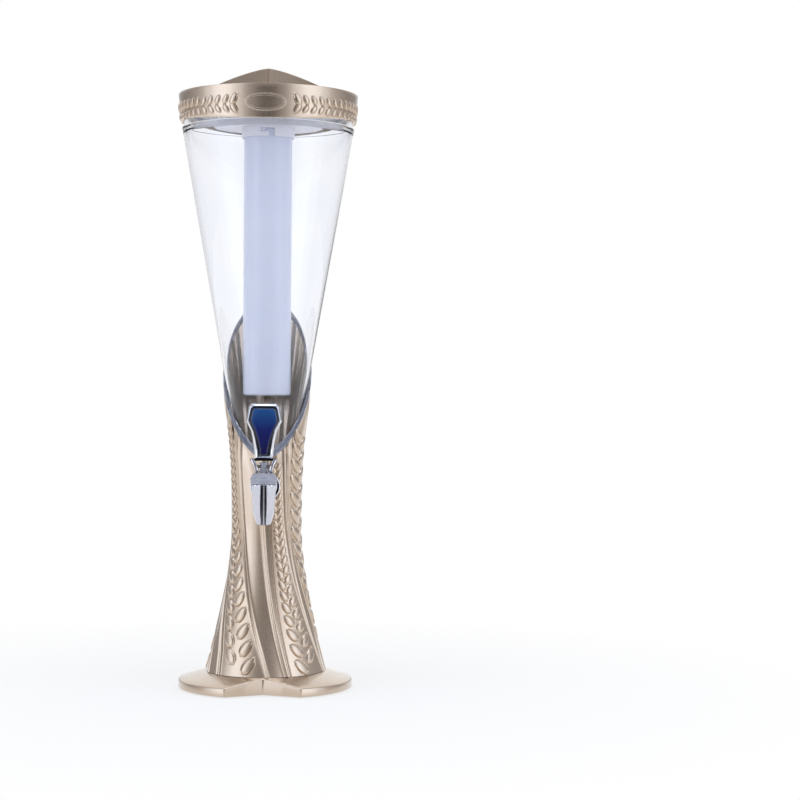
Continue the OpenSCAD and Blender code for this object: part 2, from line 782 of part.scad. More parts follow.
module tap_spring() {
  rings = [for (i = [0:SPRING_RINGS]) wire_ring(i / SPRING_RINGS)];
  n = len(rings);
  side = [
    for (k = [0:n - 2], i = [0:5])
      let (a = k * 6 + i, b = k * 6 + (i + 1) % 6)
      each [[a, b, b + 6], [a, b + 6, a + 6]]
  ];
  ends = [for (i = [1:4]) each [[0, i + 1, i], [(n - 1) * 6, (n - 1) * 6 + i, (n - 1) * 6 + i + 1]]];
  color(STEEL) tap_frame() polyhedron([for (r = rings) each r], concat(side, ends));
}

module tap_stem() {
  low = seat_z + seal_h;
  color(FROST) tap_frame() difference() {
    union() {
      translate([0, 0, low]) cylinder(h = collar_t_tap, r = collar_r_tap);
      translate([0, 0, low]) cylinder(h = head_low - low + 1, r = stem_r_tap);
      translate([-head_half, -stem_r_tap, head_low])
        cube([2 * head_half, 2 * stem_r_tap, head_top - head_low]);
    }
    translate([-20, 0, pin_z]) rotate([0, 90, 0]) cylinder(h = 40, r = pin_r + RUN);
  }
}

module valve_seal() {
  color(SILICONE) tap_frame() translate([0, 0, seat_z]) cylinder(h = seal_h, r = seal_r);
}

module pivot_pin() {
  color(STEEL) tap_frame()
    translate([-pin_half, 0, pin_z]) rotate([0, 90, 0]) cylinder(h = 2 * pin_half, r = pin_r);
}

// Outline of a prong seen from the side, as [y, z] from the pin. The front of the heel is the
// curve whose height above the bonnet grows evenly with the swing, so that the stem lifts evenly.
function heel_point(a) =
  let (h = heel_r + cam_rate * a * PI / 180)
  [-h * sin(a) - cam_rate * cos(a), -h * cos(a) + cam_rate * sin(a)];
PRONG = concat(
  [[prong_half_t, -heel_r]],
  [for (i = [0:CAM_STEPS]) heel_point(swing_angle * i / CAM_STEPS)],
  [[-prong_half_t, yoke_top - pin_z], [prong_half_t, yoke_top - pin_z]]
);

module tap_yoke() {
  tall = yoke_top - pin_z;
  color(CHROME) tap_frame() translate([0, 0, pin_z]) difference() {
    intersection() {
      rotate([90, 0, 90]) translate([0, 0, -20]) linear_extrude(40) polygon(PRONG);
      rotate([90, 0, 0]) translate([0, 0, -20]) linear_extrude(40)
        polygon([
          [-prong_low_out, -heel_r - 1], [prong_low_out, -heel_r - 1], [prong_top_out, tall],
          [-prong_top_out, tall]
        ]);
    }
    translate([-prong_in, -20, -heel_r - 2]) cube([2 * prong_in, 40, heel_r + 2 + yoke_bar_z - pin_z]);
    translate([-20, 0, 0]) rotate([0, 90, 0]) cylinder(h = 40, r = pin_r + RUN);
  }
}

// handle outline drawn in by inset on both sides, between two heights above its foot
module handle_outline(inset, low, high) {
  right = [for (p = HANDLE) [p[1] * handle_w / 2 - inset, low + p[0] * (high - low)]];
  left = [for (k = [len(right) - 1:-1:0]) [-right[k][0], right[k][1]]];
  polygon(concat(right, left));
}

module tap_handle() {
  color(CHROME) tap_frame() translate([0, 0, yoke_top]) difference() {
    rotate([90, 0, 0]) translate([0, 0, -handle_t / 2]) linear_extrude(handle_t)
      handle_outline(0, 0, handle_h);
    rotate([90, 0, 0]) translate([0, 0, handle_t / 2 - inlay_t]) linear_extrude(handle_t)
      handle_outline(inlay_edge - inlay_gap, inlay_edge - 1.5, handle_h - inlay_edge + inlay_gap);
  }
}

module handle_inlay() {
  color(BLUE) tap_frame() translate([0, 0, yoke_top])
    rotate([90, 0, 0]) translate([0, 0, handle_t / 2 - inlay_t]) linear_extrude(inlay_t)
      handle_outline(inlay_edge, inlay_edge - 1.35, handle_h - inlay_edge);
}

base_plate();
base_cover();
ballast_ring();
cover_screws();
column_screws();
column_shell();
opening_trim();
vessel_washer();
vessel_lock_nut();
vessel();
tap_body();
tap_gasket_outer();
tap_gasket_inner();
tap_nut();
tap_bonnet();
bonnet_washer();
tap_spring();
tap_stem();
valve_seal();
pivot_pin();
tap_yoke();
tap_handle();
handle_inlay();
ice_tube();
ice_tube_seal();
lid_band();
lid_crown();
lid_plug();
lid_seal();
lid_screws();
for (i = [0:len(FOOT_ANGLES) - 1])
  foot(i);
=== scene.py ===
# %% [markdown]
# # A table-top drink tower
# The object is a clear cone that stands in a fluted column, with a lever tap, an ice tube that hangs
# inside the cone and a lift-off lid. Its working shape comes from CAD as a fixed frame, and this lesson
# dresses that frame: it adds the carving, the soft edges and the finishes.
# Everything is in metres and in the frame's own axes: +Z is up and the tap points to -Y.

import json
import math

import bmesh
import bpy
import numpy as np
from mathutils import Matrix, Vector


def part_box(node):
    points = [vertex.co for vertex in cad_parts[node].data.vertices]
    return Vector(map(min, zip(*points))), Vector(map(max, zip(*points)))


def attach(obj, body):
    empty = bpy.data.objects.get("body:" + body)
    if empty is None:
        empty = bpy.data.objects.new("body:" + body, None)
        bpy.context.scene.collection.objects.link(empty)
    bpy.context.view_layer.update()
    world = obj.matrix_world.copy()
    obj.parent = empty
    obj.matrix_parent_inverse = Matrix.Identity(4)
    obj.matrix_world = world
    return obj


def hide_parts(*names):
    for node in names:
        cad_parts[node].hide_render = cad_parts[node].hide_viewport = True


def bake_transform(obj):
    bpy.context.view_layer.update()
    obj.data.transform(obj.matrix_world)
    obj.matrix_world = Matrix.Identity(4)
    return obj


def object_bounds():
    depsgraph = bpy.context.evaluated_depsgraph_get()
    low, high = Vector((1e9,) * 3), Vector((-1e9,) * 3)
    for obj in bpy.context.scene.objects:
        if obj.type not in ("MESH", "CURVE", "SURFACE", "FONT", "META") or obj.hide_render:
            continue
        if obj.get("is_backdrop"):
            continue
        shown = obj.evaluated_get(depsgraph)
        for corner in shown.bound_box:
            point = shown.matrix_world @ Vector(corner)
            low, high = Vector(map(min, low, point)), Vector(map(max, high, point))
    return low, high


MM = 0.001
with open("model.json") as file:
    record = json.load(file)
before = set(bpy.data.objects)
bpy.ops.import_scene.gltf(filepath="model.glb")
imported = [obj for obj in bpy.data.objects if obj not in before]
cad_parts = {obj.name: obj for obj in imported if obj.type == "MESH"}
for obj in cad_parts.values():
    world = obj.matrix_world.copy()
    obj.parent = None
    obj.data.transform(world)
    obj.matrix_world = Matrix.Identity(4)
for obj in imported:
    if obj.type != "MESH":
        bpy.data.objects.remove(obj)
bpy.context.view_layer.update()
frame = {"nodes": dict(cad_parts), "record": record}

# %% [markdown]
# ## Camera
# The photograph is 800 pixels square and, at the tower's axis, one pixel is one millimetre. The tower
# stands left of the middle, so the camera is turned a little to the right instead of being moved.

# %% Camera
CAMERA_DISTANCE = 1.98
CAMERA_HEIGHT = 0.303
CAMERA_SIDE = math.radians(1.9)  # how far the camera stands towards +X
CAMERA_YAW = math.radians(3.85)  # turned so that the tower is left of the middle
CAMERA_PITCH = math.radians(-0.458)
CAMERA_ROLL = math.radians(0.36)
LENS = 89.0

camera_data = bpy.data.cameras.new("camera")
camera_data.lens = LENS
camera_data.sensor_width = 36.0
camera_data.clip_start = 0.05
camera = bpy.data.objects.new("camera", camera_data)
bpy.context.scene.collection.objects.link(camera)
camera.location = (
    CAMERA_DISTANCE * math.sin(CAMERA_SIDE),
    -CAMERA_DISTANCE * math.cos(CAMERA_SIDE),
    CAMERA_HEIGHT,
)
heading = CAMERA_SIDE - CAMERA_YAW
look = Vector(
    (
        -math.sin(heading) * math.cos(CAMERA_PITCH),
        math.cos(heading) * math.cos(CAMERA_PITCH),
        math.sin(CAMERA_PITCH),
    )
)
camera.rotation_euler = look.to_track_quat("-Z", "Y").to_euler()
camera.rotation_euler.rotate_axis("Z", CAMERA_ROLL)
bpy.context.scene.camera = camera
print("camera", [round(v, 3) for v in camera.location])

# %% [markdown]
# ## Surfaces worked out on a grid
# Most pieces here are turned or moulded, so each is a surface over a grid of two numbers. `around` gives
# the points of such a grid, `grid_faces` joins neighbours by quads, and `make_piece` makes the mesh and
# lets it ride on its body. Worked out as arrays, each shape stays a short formula.

# %% Grid surfaces
WELD = 1e-6  # points closer than this, in metres, are one point


def grid_faces(rows, columns, wrap_rows=False, wrap_columns=False):
    """Quads between neighbours of a grid; the last row or column joins the first where it wraps."""
    k = np.arange(rows if wrap_rows else rows - 1)
    i = np.arange(columns if wrap_columns else columns - 1)
    k, i = (m.ravel() for m in np.meshgrid(k, i, indexing="ij"))
    k2, i2 = (k + 1) % rows, (i + 1) % columns
    return np.stack([k * columns + i, k * columns + i2, k2 * columns + i2, k2 * columns + i], 1)


def make_piece(name, points, faces, body, slot, stands_for=(), sharp=35.0):
    """A mesh object from points and faces, welded, smooth but for edges above an angle, on its body.
    """
    mesh = bpy.data.meshes.new(name)
    mesh.from_pydata(np.asarray(points, float).reshape(-1, 3), [], np.asarray(faces).tolist())
    bm = bmesh.new()
    bm.from_mesh(mesh)
    bmesh.ops.remove_doubles(bm, verts=bm.verts, dist=WELD)
    bmesh.ops.dissolve_degenerate(bm, edges=bm.edges, dist=WELD / 10)
    bm.to_mesh(mesh)
    bm.free()
    mesh.shade_smooth()
    mesh.set_sharp_from_angle(angle=math.radians(sharp))
    piece = bpy.data.objects.new(name, mesh)
    bpy.context.scene.collection.objects.link(piece)
    if isinstance(body, str):
        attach(piece, body)
    else:
        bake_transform(piece)
    if stands_for:
        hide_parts(*stands_for)
    print(f"{name}: {len(mesh.polygons)} faces")
    return piece


def around(azimuth, radius, height):
    """Points at an azimuth counted from the front towards +X, a radius and a height, all in mm."""
    azimuth, radius, height = np.broadcast_arrays(azimuth, radius, height)
    return np.stack([radius * np.sin(azimuth), -radius * np.cos(azimuth), height], -1) * MM


def rounded(profile, radius, steps=4):
    """A closed outline in mm with each corner replaced by an arc, as wide as its two sides allow."""
    corners = np.asarray(profile, float)
    before, after = np.roll(corners, 1, 0), np.roll(corners, -1, 0)
    out = []
    for p, a, b in zip(corners, before, after):
        to_a, to_b = a - p, b - p
        la, lb = np.linalg.norm(to_a), np.linalg.norm(to_b)
        if p[0] < 1e-9:
            out.append(p[None])
            continue
        cut = min(radius, 0.45 * la, 0.45 * lb)
        s = np.linspace(0, 1, steps + 1)[:, None]
        start, end = p + to_a / la * cut, p + to_b / lb * cut
        out.append((1 - s) ** 2 * start + 2 * s * (1 - s) * p + s**2 * end)
    return np.concatenate(out)


def turned(profile, segments=160):
    """Grid of a closed outline of (radius, height) in mm, carried round the Z axis."""
    azimuth = np.linspace(0, 2 * np.pi, segments, endpoint=False)
    r, z = np.asarray(profile, float).T
    return around(azimuth[None, :], r[:, None], z[:, None])


def place(points, x=0.0, y=0.0, z=0.0):
    """The same points moved by a distance in mm."""
    return points + np.array([x, y, z]) * MM


def lying(points, way=1):
    """Points turned so that what stood up along +Z lies along +Y, or along -Y where way is -1."""
    x, y, z = np.moveaxis(points, -1, 0)
    return np.stack([x, way * z, -way * y], -1)


# %% [markdown]
# ## Colours and nodes
# Colours are written as the sRGB hex values that the eye would pick, and one function turns them into
# the linear values that the shader needs. One small function adds any node with its settings, colour
# stops and links. Numbers that are the same all over a surface go straight to the shader's sockets.


# %% Material helpers
def linear(hex_colour):
    """Linear RGBA of an sRGB hex colour such as #C2AA92."""
    srgb = np.array([int(hex_colour[i : i + 2], 16) for i in (1, 3, 5)]) / 255
    rgb = np.where(srgb <= 0.04045, srgb / 12.92, ((srgb + 0.055) / 1.055) ** 2.4)
    return (*rgb, 1.0)


def feed(tree, node, inputs):
    """Gives each socket of a node its value, or links it to another node's output socket."""
    for socket, value in inputs.items():
        if isinstance(value, bpy.types.NodeSocket):
            tree.links.new(value, node.inputs[socket])
        else:
            node.inputs[socket].default_value = value


def add(tree, kind, inputs=None, stops=(), **settings):
    """Adds a node with its settings and inputs; stops are a ramp's positions and hex colours."""
    node = tree.nodes.new(kind)
    for key, value in settings.items():
        setattr(node, key, value)
    for k, (position, shade) in enumerate(stops):
        elements = node.color_ramp.elements
        stop = elements[k] if k < 2 else elements.new(position)
        stop.position, stop.color = position, linear(shade)
    feed(tree, node, inputs or {})
    return node


def new_material(name):
    """A material, its tree, its Principled shader and the object's coordinates."""
    material = bpy.data.materials.new(name)
    material.use_nodes = True
    tree = material.node_tree
    place_on = add(tree, "ShaderNodeTexCoord").outputs["Object"]
    print("finish:", name)
    return material, tree, tree.nodes["Principled BSDF"], place_on


# %% [markdown]
# ## Champagne lacquer on ABS
# The mouldings are ABS plastic sprayed with a champagne metallic lacquer. Fine aluminium flakes give a
# broad satin highlight, and a thin clear coat gives a sharper one on top. The flakes are a few hundredths
# of a millimetre; they are drawn at 0.35 mm, because finer ones don't show in a render of this size.

# %% Champagne lacquer
FLAKE, CLOUD = 0.35, 60.0  # in mm: the flakes, and the slow changes of colour
champagne, tree, shader, at = new_material("champagne_lacquer")
flakes = add(tree, "ShaderNodeTexNoise", {"Vector": at, "Scale": 1 / (FLAKE * MM), "Detail": 1.0})
cloud = add(tree, "ShaderNodeTexNoise", {"Vector": at, "Scale": 1 / (CLOUD * MM), "Detail": 3.0})
tint = add(tree, "ShaderNodeValToRGB", {"Fac": cloud.outputs["Fac"]}, [(0.3, "#C6B19A"), (0.7, "#D0BCA8")])
sparkle = add(
    tree,
    "ShaderNodeMapRange",
    {"Value": flakes.outputs["Fac"], "From Min": 0.35, "From Max": 0.65, "To Min": 0.25, "To Max": 0.33},
)
bump = add(
    tree, "ShaderNodeBump", {"Height": flakes.outputs["Fac"], "Strength": 0.05, "Distance": 0.02 * MM}
)
feed(tree, shader, {"Base Color": tint.outputs["Color"], "Normal": bump.outputs["Normal"]})
feed(tree, shader, {"Roughness": sparkle.outputs["Result"], "Metallic": 0.9})
feed(tree, shader, {"Coat Weight": 1.0, "Coat Roughness": 0.08})

# %% [markdown]
# ## Clear plastics
# The cone is injection-moulded polycarbonate: light passes through, and only the edges and long paths
# show a blue-grey tint. Its IOR is matched to the photograph, where the outline of the wall is fainter
# than the resin's own 1.58 would draw it. The strip on the column's edge is clear PVC, a little hazier.

# %% Clear polycarbonate and PVC
MELT_FLOW, KINK = 45.0, 20.0  # in mm: waves where the melt flowed, and where the strip was bent
clear, tree, shader, at = new_material("clear_polycarbonate")
flow = add(tree, "ShaderNodeTexNoise", {"Vector": at, "Scale": 1 / (MELT_FLOW * MM), "Detail": 1.0})
tint = add(tree, "ShaderNodeValToRGB", {"Fac": flow.outputs["Fac"]}, [(0, "#F6F8FD"), (1, "#FDFDFF")])
ripple = add(
    tree, "ShaderNodeBump", {"Height": flow.outputs["Fac"], "Strength": 0.02, "Distance": 0.3 * MM}
)
feed(tree, shader, {"Base Color": tint.outputs["Color"], "Normal": ripple.outputs["Normal"]})
feed(tree, shader, {"Transmission Weight": 1.0, "Roughness": 0.015})
feed(tree, shader, {"IOR": 1.35, "Specular IOR Level": 0.3})

strip, tree, shader, at = new_material("clear_pvc_strip")
kinks = add(tree, "ShaderNodeTexNoise", {"Vector": at, "Scale": 1 / (KINK * MM), "Detail": 1.0})
tint = add(tree, "ShaderNodeValToRGB", {"Fac": kinks.outputs["Fac"]}, [(0, "#C4CCE2"), (1, "#D6DCEC")])
feed(tree, shader, {"Base Color": tint.outputs["Color"], "Transmission Weight": 0.85})
feed(tree, shader, {"Roughness": 0.08, "IOR": 1.45})

# %% [markdown]
# ## Milky ice tube
# The tube is the same resin with a pigment that scatters the light, so it looks pale blue and even. A
# little transmission and a soft haze of two close blues stand in for that scattering.

# %% Milky polycarbonate
HAZE = 25.0  # in mm: clouds of pigment
milky, tree, shader, at = new_material("milky_polycarbonate")
haze = add(tree, "ShaderNodeTexNoise", {"Vector": at, "Scale": 1 / (HAZE * MM), "Detail": 2.0})
tint = add(tree, "ShaderNodeValToRGB", {"Fac": haze.outputs["Fac"]}, [(0, "#E4EAFF"), (1, "#ECF0FF")])
feed(tree, shader, {"Base Color": tint.outputs["Color"], "Transmission Weight": 0.12})
feed(tree, shader, {"Roughness": 0.22, "IOR": 1.5})

# %% [markdown]
# ## Natural polypropylene
# The lid's plug is polypropylene without pigment, as it comes from the mould: light grey, with a soft
# sheen and a faint flow texture. The mould's grain is a few hundredths of a millimetre deep.

# %% Natural polypropylene
FLOW, GRAIN = 14.0, 0.6  # in mm: flow marks, and the grain that the mould leaves
frosted, tree, shader, at = new_material("natural_polypropylene")
flow = add(tree, "ShaderNodeTexNoise", {"Vector": at, "Scale": 1 / (FLOW * MM), "Detail": 3.0})
grain = add(tree, "ShaderNodeTexNoise", {"Vector": at, "Scale": 1 / (GRAIN * MM), "Detail": 2.0})
tint = add(tree, "ShaderNodeValToRGB", {"Fac": flow.outputs["Fac"]}, [(0, "#EEEDF6"), (1, "#F6F5FA")])
dimple = add(
    tree, "ShaderNodeBump", {"Height": grain.outputs["Fac"], "Strength": 0.12, "Distance": 0.03 * MM}
)
feed(tree, shader, {"Base Color": tint.outputs["Color"], "Normal": dimple.outputs["Normal"]})
feed(tree, shader, {"Transmission Weight": 0.1, "Roughness": 0.3, "IOR": 1.49})

# %% [markdown]
# ## Smoky styrene
# The tap's bonnet and its stem are a clear styrene with a grey tint, so they look smoky where they are
# thick. A part of the light goes through, and the rest shows the tint.

# %% Smoky styrene
SWIRL = 5.0  # in mm: swirls of tint
smoky, tree, shader, at = new_material("smoky_styrene_acrylonitrile")
swirl = add(tree, "ShaderNodeTexNoise", {"Vector": at, "Scale": 1 / (SWIRL * MM), "Detail": 2.0})
tint = add(tree, "ShaderNodeValToRGB", {"Fac": swirl.outputs["Fac"]}, [(0, "#B2B3C0"), (1, "#C8C9D4")])
feed(tree, shader, {"Base Color": tint.outputs["Color"], "Transmission Weight": 0.4})
feed(tree, shader, {"Roughness": 0.16, "IOR": 1.57})

# %% [markdown]
# ## Chrome
# The tap is plated with nickel and chrome: the arm, handle and yoke are polished castings, and the spout
# is ABS. The colour is almost white, and the look comes from what it mirrors. So the castings' roughness
# stays very low, with faint polishing waves, and the plated plastic is a little duller.

# %% Chrome plating
POLISH, DULL = 4.0, 6.0  # in mm: polishing waves, and the plastic's own unevenness
chrome, tree, shader, at = new_material("bright_chrome_plating")
waves = add(tree, "ShaderNodeTexNoise", {"Vector": at, "Scale": 1 / (POLISH * MM), "Detail": 1.0})
tint = add(tree, "ShaderNodeValToRGB", {"Fac": waves.outputs["Fac"]}, [(0, "#D9DBE2"), (1, "#E4E6EC")])
polish = add(
    tree, "ShaderNodeBump", {"Height": waves.outputs["Fac"], "Strength": 0.08, "Distance": 0.05 * MM}
)
smear = add(tree, "ShaderNodeMapRange", {"Value": waves.outputs["Fac"], "To Min": 0.03, "To Max": 0.09})
feed(tree, shader, {"Base Color": tint.outputs["Color"], "Normal": polish.outputs["Normal"]})
feed(tree, shader, {"Roughness": smear.outputs["Result"], "Metallic": 1.0})

plated, tree, shader, at = new_material("chrome_plated_abs")
waves = add(tree, "ShaderNodeTexNoise", {"Vector": at, "Scale": 1 / (DULL * MM), "Detail": 1.0})
tint = add(tree, "ShaderNodeValToRGB", {"Fac": waves.outputs["Fac"]}, [(0, "#C4C6D2"), (1, "#D6D7E1")])
feed(tree, shader, {"Base Color": tint.outputs["Color"], "Roughness": 0.1, "Metallic": 1.0})

# %% [markdown]
# ## The handle's panel
# The panel is clear resin cast over a printed foil that shades from a lighter blue at the top to navy at
# the foot. A ramp along the panel's height gives the shading, and a clear coat gives the resin's gloss.

# %% Domed blue foil
INLAY_LOW, INLAY_HIGH = (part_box("handle_inlay")[k].z for k in (0, 1))
DOT = 0.5  # in mm: the print's dots, drawn coarser than the real ones so that they show
blue, tree, shader, at = new_material("domed_blue_foil")
split = add(tree, "ShaderNodeSeparateXYZ", {"Vector": at})
height = add(
    tree,
    "ShaderNodeMapRange",
    {"Value": split.outputs["Z"], "From Min": INLAY_LOW, "From Max": INLAY_HIGH},
)
foil = add(tree, "ShaderNodeTexNoise", {"Vector": at, "Scale": 1 / (DOT * MM), "Detail": 1.0})
BLUES = [(0, "#0F0C42"), (0.55, "#0C1C60"), (1, "#064A84")]
tint = add(tree, "ShaderNodeValToRGB", {"Fac": height.outputs["Result"]}, BLUES)
print_dots = add(
    tree, "ShaderNodeBump", {"Height": foil.outputs["Fac"], "Strength": 0.03, "Distance": 0.02 * MM}
)
feed(tree, shader, {"Base Color": tint.outputs["Color"], "Normal": print_dots.outputs["Normal"]})
feed(tree, shader, {"Roughness": 0.25, "Coat Weight": 1.0, "Coat Roughness": 0.03})

# %% [markdown]
# ## Small parts
# Seals are natural silicone, feet are black rubber, the cover and nut are black spark-eroded plastic,
# and the ballast and screws are zinc-plated steel. All four have a fine even grain, so one function
# makes them. Then each CAD node gets the finish of its slot in the record.


# %% Silicone, rubber, black plastic, zinc plate
def grained(name, dark, light, grain_mm, strength, roughness, metallic=0.0):
    """A material with a fine even grain in its colour and its surface."""
    material, tree, shader, at = new_material(name)
    noise = add(tree, "ShaderNodeTexNoise", {"Vector": at, "Scale": 1 / (grain_mm * MM), "Detail": 3.0})
    tint = add(tree, "ShaderNodeValToRGB", {"Fac": noise.outputs["Fac"]}, [(0, dark), (1, light)])
    bump = add(
        tree,
        "ShaderNodeBump",
        {"Height": noise.outputs["Fac"], "Strength": strength, "Distance": 0.05 * MM},
    )
    feed(tree, shader, {"Base Color": tint.outputs["Color"], "Normal": bump.outputs["Normal"]})
    feed(tree, shader, {"Roughness": roughness, "Metallic": metallic})
    return material, shader


silicone, silicone_shader = grained("natural_silicone", "#D5D5DA", "#E4E4E8", 3.0, 0.1, 0.45)
silicone_shader.inputs["Transmission Weight"].default_value = 0.3
rubber, _ = grained("black_rubber", "#151515", "#222222", 0.8, 0.5, 0.75)
black, _ = grained("black_abs_spark_eroded", "#101012", "#1C1C1F", 0.5, 0.35, 0.5)
zinc, _ = grained("zinc_plated_steel", "#8E9094", "#A6A8AC", 1.2, 0.15, 0.35, 1.0)

FINISH = {
    "champagne": champagne,
    "clear": clear,
    "milky": milky,
    "frosted": frosted,
    "chrome": chrome,
    "blue_panel": blue,
    "silicone": silicone,
    "rubber": rubber,
    "black_plastic": black,
    "steel": zinc,
}
for entry in frame["record"]["subparts"]:
    node_mesh = frame["nodes"][entry["node"]].data
    node_mesh.materials.clear()
    node_mesh.materials.append(FINISH[entry["material_slot"]])


def dressed(name, points, faces, body, slot, stands_for=(), finish=None, **more):
    """A piece with its slot's finish, or with a shade of it."""
    piece = make_piece(name, points, faces, body, slot, stands_for, **more)
    piece.data.materials.append(finish or FINISH[slot])
    return piece


def ringed(name, rings, *rest, closed=False, flip=False, **more):
    """A dressed piece from a stack of rings; closed joins the last to the first, flip turns the faces."""
    faces = grid_faces(*rings.shape[:2], wrap_rows=closed, wrap_columns=True)
    return dressed(name, rings, faces[:, ::-1] if flip else faces, *rest, **more)


# %% [markdown]
# ## The column's form
# The column is one moulding. Its profile is the soft maximum of a straight waist and of the cone's wall,
# plus a flare towards the foot. A soft maximum joins two curves without a crease, as a mould does.

# %% Column profile
CONE_TOP_R = 85.7
CONE_SHOULDER = 556.5
CONE_ANGLE = math.radians(10)
CONE_SLOPE = math.tan(CONE_ANGLE)
WELL_R = 27.5
COLUMN_WALL = 2.2
CUP_GAP = 0.8
WAIST_R = 32.6
WAIST_Z = 166.0
WAIST_BLEND = 8.0
FOOT_R = 59.4
FOOT_Z = 17.4
FLARE_BLEND = 0.57


def cone_r(z):
    """Outer radius of the clear cone: it grows evenly with height."""
    return CONE_TOP_R - CONE_SLOPE * (CONE_SHOULDER - z)


def below_waist(z):
    """Share of the way down from the waist to the foot, 0 above the waist."""
    return np.clip((WAIST_Z - z) / (WAIST_Z - FOOT_Z), 0, 1)


def stem_r(z):
    """Soft maximum of the waist and of the cone's wall: half their sum plus a rounded half difference."""
    a, b = WAIST_R, cone_r(z) + COLUMN_WALL + CUP_GAP
    return (a + b + np.sqrt((a - b) ** 2 + WAIST_BLEND**2)) / 2


def column_r(z):
    """The stem plus a flare that grows as a hyperbola towards the foot."""
    c = FLARE_BLEND
    flare = (np.sqrt(c * c + below_waist(z) ** 2) - c) / (math.sqrt(c * c + 1) - c)
    return stem_r(z) + (FOOT_R - stem_r(FOOT_Z)) * flare


print("column radius", *(f"{float(column_r(z)):.1f} mm at {z:.0f}" for z in (FOOT_Z, WAIST_Z, 300.0)))

# %% [markdown]
# ## Lines round the column
# Round the column run five periods, and each has a smooth band, two fine ribs, a plain strip, a deep
# groove, a band for the wheat ear, and two fine ribs again. Every line of the mould turns a little on its
# way from the foot to the waist. On that way the ears at the sides also spread, and what lies between
# them narrows, so a table moves each line from its even place to where it lies.

# %% Ribs, grooves and the spread of the ears
PERIODS = 5
PERIOD = 360 / PERIODS
FOOT_TURN, RIB_TURN, RIB_RISE = 12.5, 35.5, 230.0  # degrees at the foot, how far back, over which height
# angles in degrees from the smooth band's middle, at the foot and at the waist
SMOOTH_HALF = (6.6, 9.5)
RIB_END = (11.6, 17.5)
STRIP_END = (12.1, 25.5)
WHEAT_START = (15.7, 28.5)
WHEAT_END = (61.0, 50.5)
NEXT_SMOOTH = tuple(PERIOD - half for half in SMOOTH_HALF)
NEXT_RIB = tuple(PERIOD + half for half in SMOOTH_HALF)
RIB_H, RIB_WIDTH, RIB_AT = 0.9, 0.14, (0.27, 0.73)  # height in mm; width and places as shares
GROOVE_DEPTH, GROOVE_FULL = 1.2, 0.6  # in mm, and the power that makes the groove's floor wide


def rib_turn(z):
    """Azimuth in degrees of the front smooth band: it turns back from the foot as a quarter sine."""
    return FOOT_TURN - RIB_TURN * np.sin(np.pi / 2 * np.minimum(1, (z - FOOT_Z) / RIB_RISE))


def border(ends, z):
    """An angle that goes evenly from its value at the foot to its value at the waist."""
    return ends[1] + (ends[0] - ends[1]) * below_waist(z)


def two_ribs(s):
    """Two raised lines, each a smooth bump, as s goes across them from 0 to 1."""
    return RIB_H * sum(np.exp(-(((s - at) / RIB_WIDTH) ** 2)) for at in RIB_AT)


def groove(s):
    """A groove as deep as a half sine to a power, as s goes across it from 0 to 1."""
    return -GROOVE_DEPTH * np.sin(np.pi * s) ** GROOVE_FULL


def level(s):
    """No relief."""
    return np.zeros_like(s)


RIB_STEPS = np.linspace(0, 1, 13)
# each stretch of a period: where it starts and ends, its steps and the relief that it carries
STRETCHES = (
    (SMOOTH_HALF, RIB_END, RIB_STEPS, two_ribs),
    (RIB_END, STRIP_END, np.array([0.3, 0.7]), level),
    (STRIP_END, WHEAT_START, np.linspace(0, 1, 9), groove),
    (WHEAT_START, WHEAT_END, np.linspace(0, 1, 15)[1:-1], level),
    (WHEAT_END, NEXT_SMOOTH, RIB_STEPS, two_ribs),
    (NEXT_SMOOTH, NEXT_RIB, np.linspace(0, 1, 9)[1:-1], level),
)
# even angles and where they lie when fully spread, and the heights over which the spread grows
EVEN = (0, 64, 95, 101, 123, 172, 195, 244, 267, 316, 339, 351, 360, 370)
SPREAD = (0, 64, 66.5, 71, 110, 146, 190, 222, 264, 296, 333, 344, 360, 370)
SPREAD_FROM, SPREAD_SHARE = (40, 95, 142), (0.0, 0.6, 1.0)


def spread(angle, z):
    """Angles from the front band's middle at a height z, moved from even periods to where they lie."""
    share = np.interp(z, SPREAD_FROM, SPREAD_SHARE)[..., None]
    return angle + share * (np.interp(angle, EVEN, SPREAD) - angle)


def section(z):
    """Angles in degrees from the smooth band's middle, and heights, of one period at each height z."""
    z = np.asarray(z, float)[..., None]
    angles = [border(start, z) * (1 - s) + border(end, z) * s for start, end, s, _ in STRETCHES]
    angles = np.concatenate(angles, -1)
    heights = np.concatenate([relief(s) for *_, s, relief in STRETCHES])
    return angles, np.broadcast_to(heights, angles.shape)


LINES = PERIODS * section(FOOT_Z)[0].shape[-1]
print("lines of the mould:", LINES)

# %% [markdown]
# ## The slanting edge
# A slanting plane cuts the column's top, and in front the edge dips below that plane. Each line of the
# mould is followed up to the height where it meets the edge, found by repeated halving. Inside, the cup
# has soft upright waves. Near the edge the wall gets thinner from outside, where the clear strip sits.

# %% Column moulding
CUT_Z, CUT_SLANT = 293.5, math.tan(math.radians(57.7))
CUT_DIP = 9.5  # how much deeper than the plane the edge runs in front, in mm
INNER_WAVE, INNER_WAVES = 1.0, 23  # height of the waves in mm, and how many there are
EDGE_THINNED, EDGE_LENGTH = 1.7, 12.0  # how much thinner the wall gets, and how far down, in mm
EDGE_SEARCH = (205.0, 420.0, 24)  # the edge lies between these heights in mm; how often they are halved


def cut_z(azimuth, radius):
    """Height of the slanting edge: a plane, and in front a dip that fades as the cosine's third power."""
    front = np.cos(azimuth)
    return CUT_Z - CUT_SLANT * radius * front - CUT_DIP * np.maximum(front, 0) ** 3


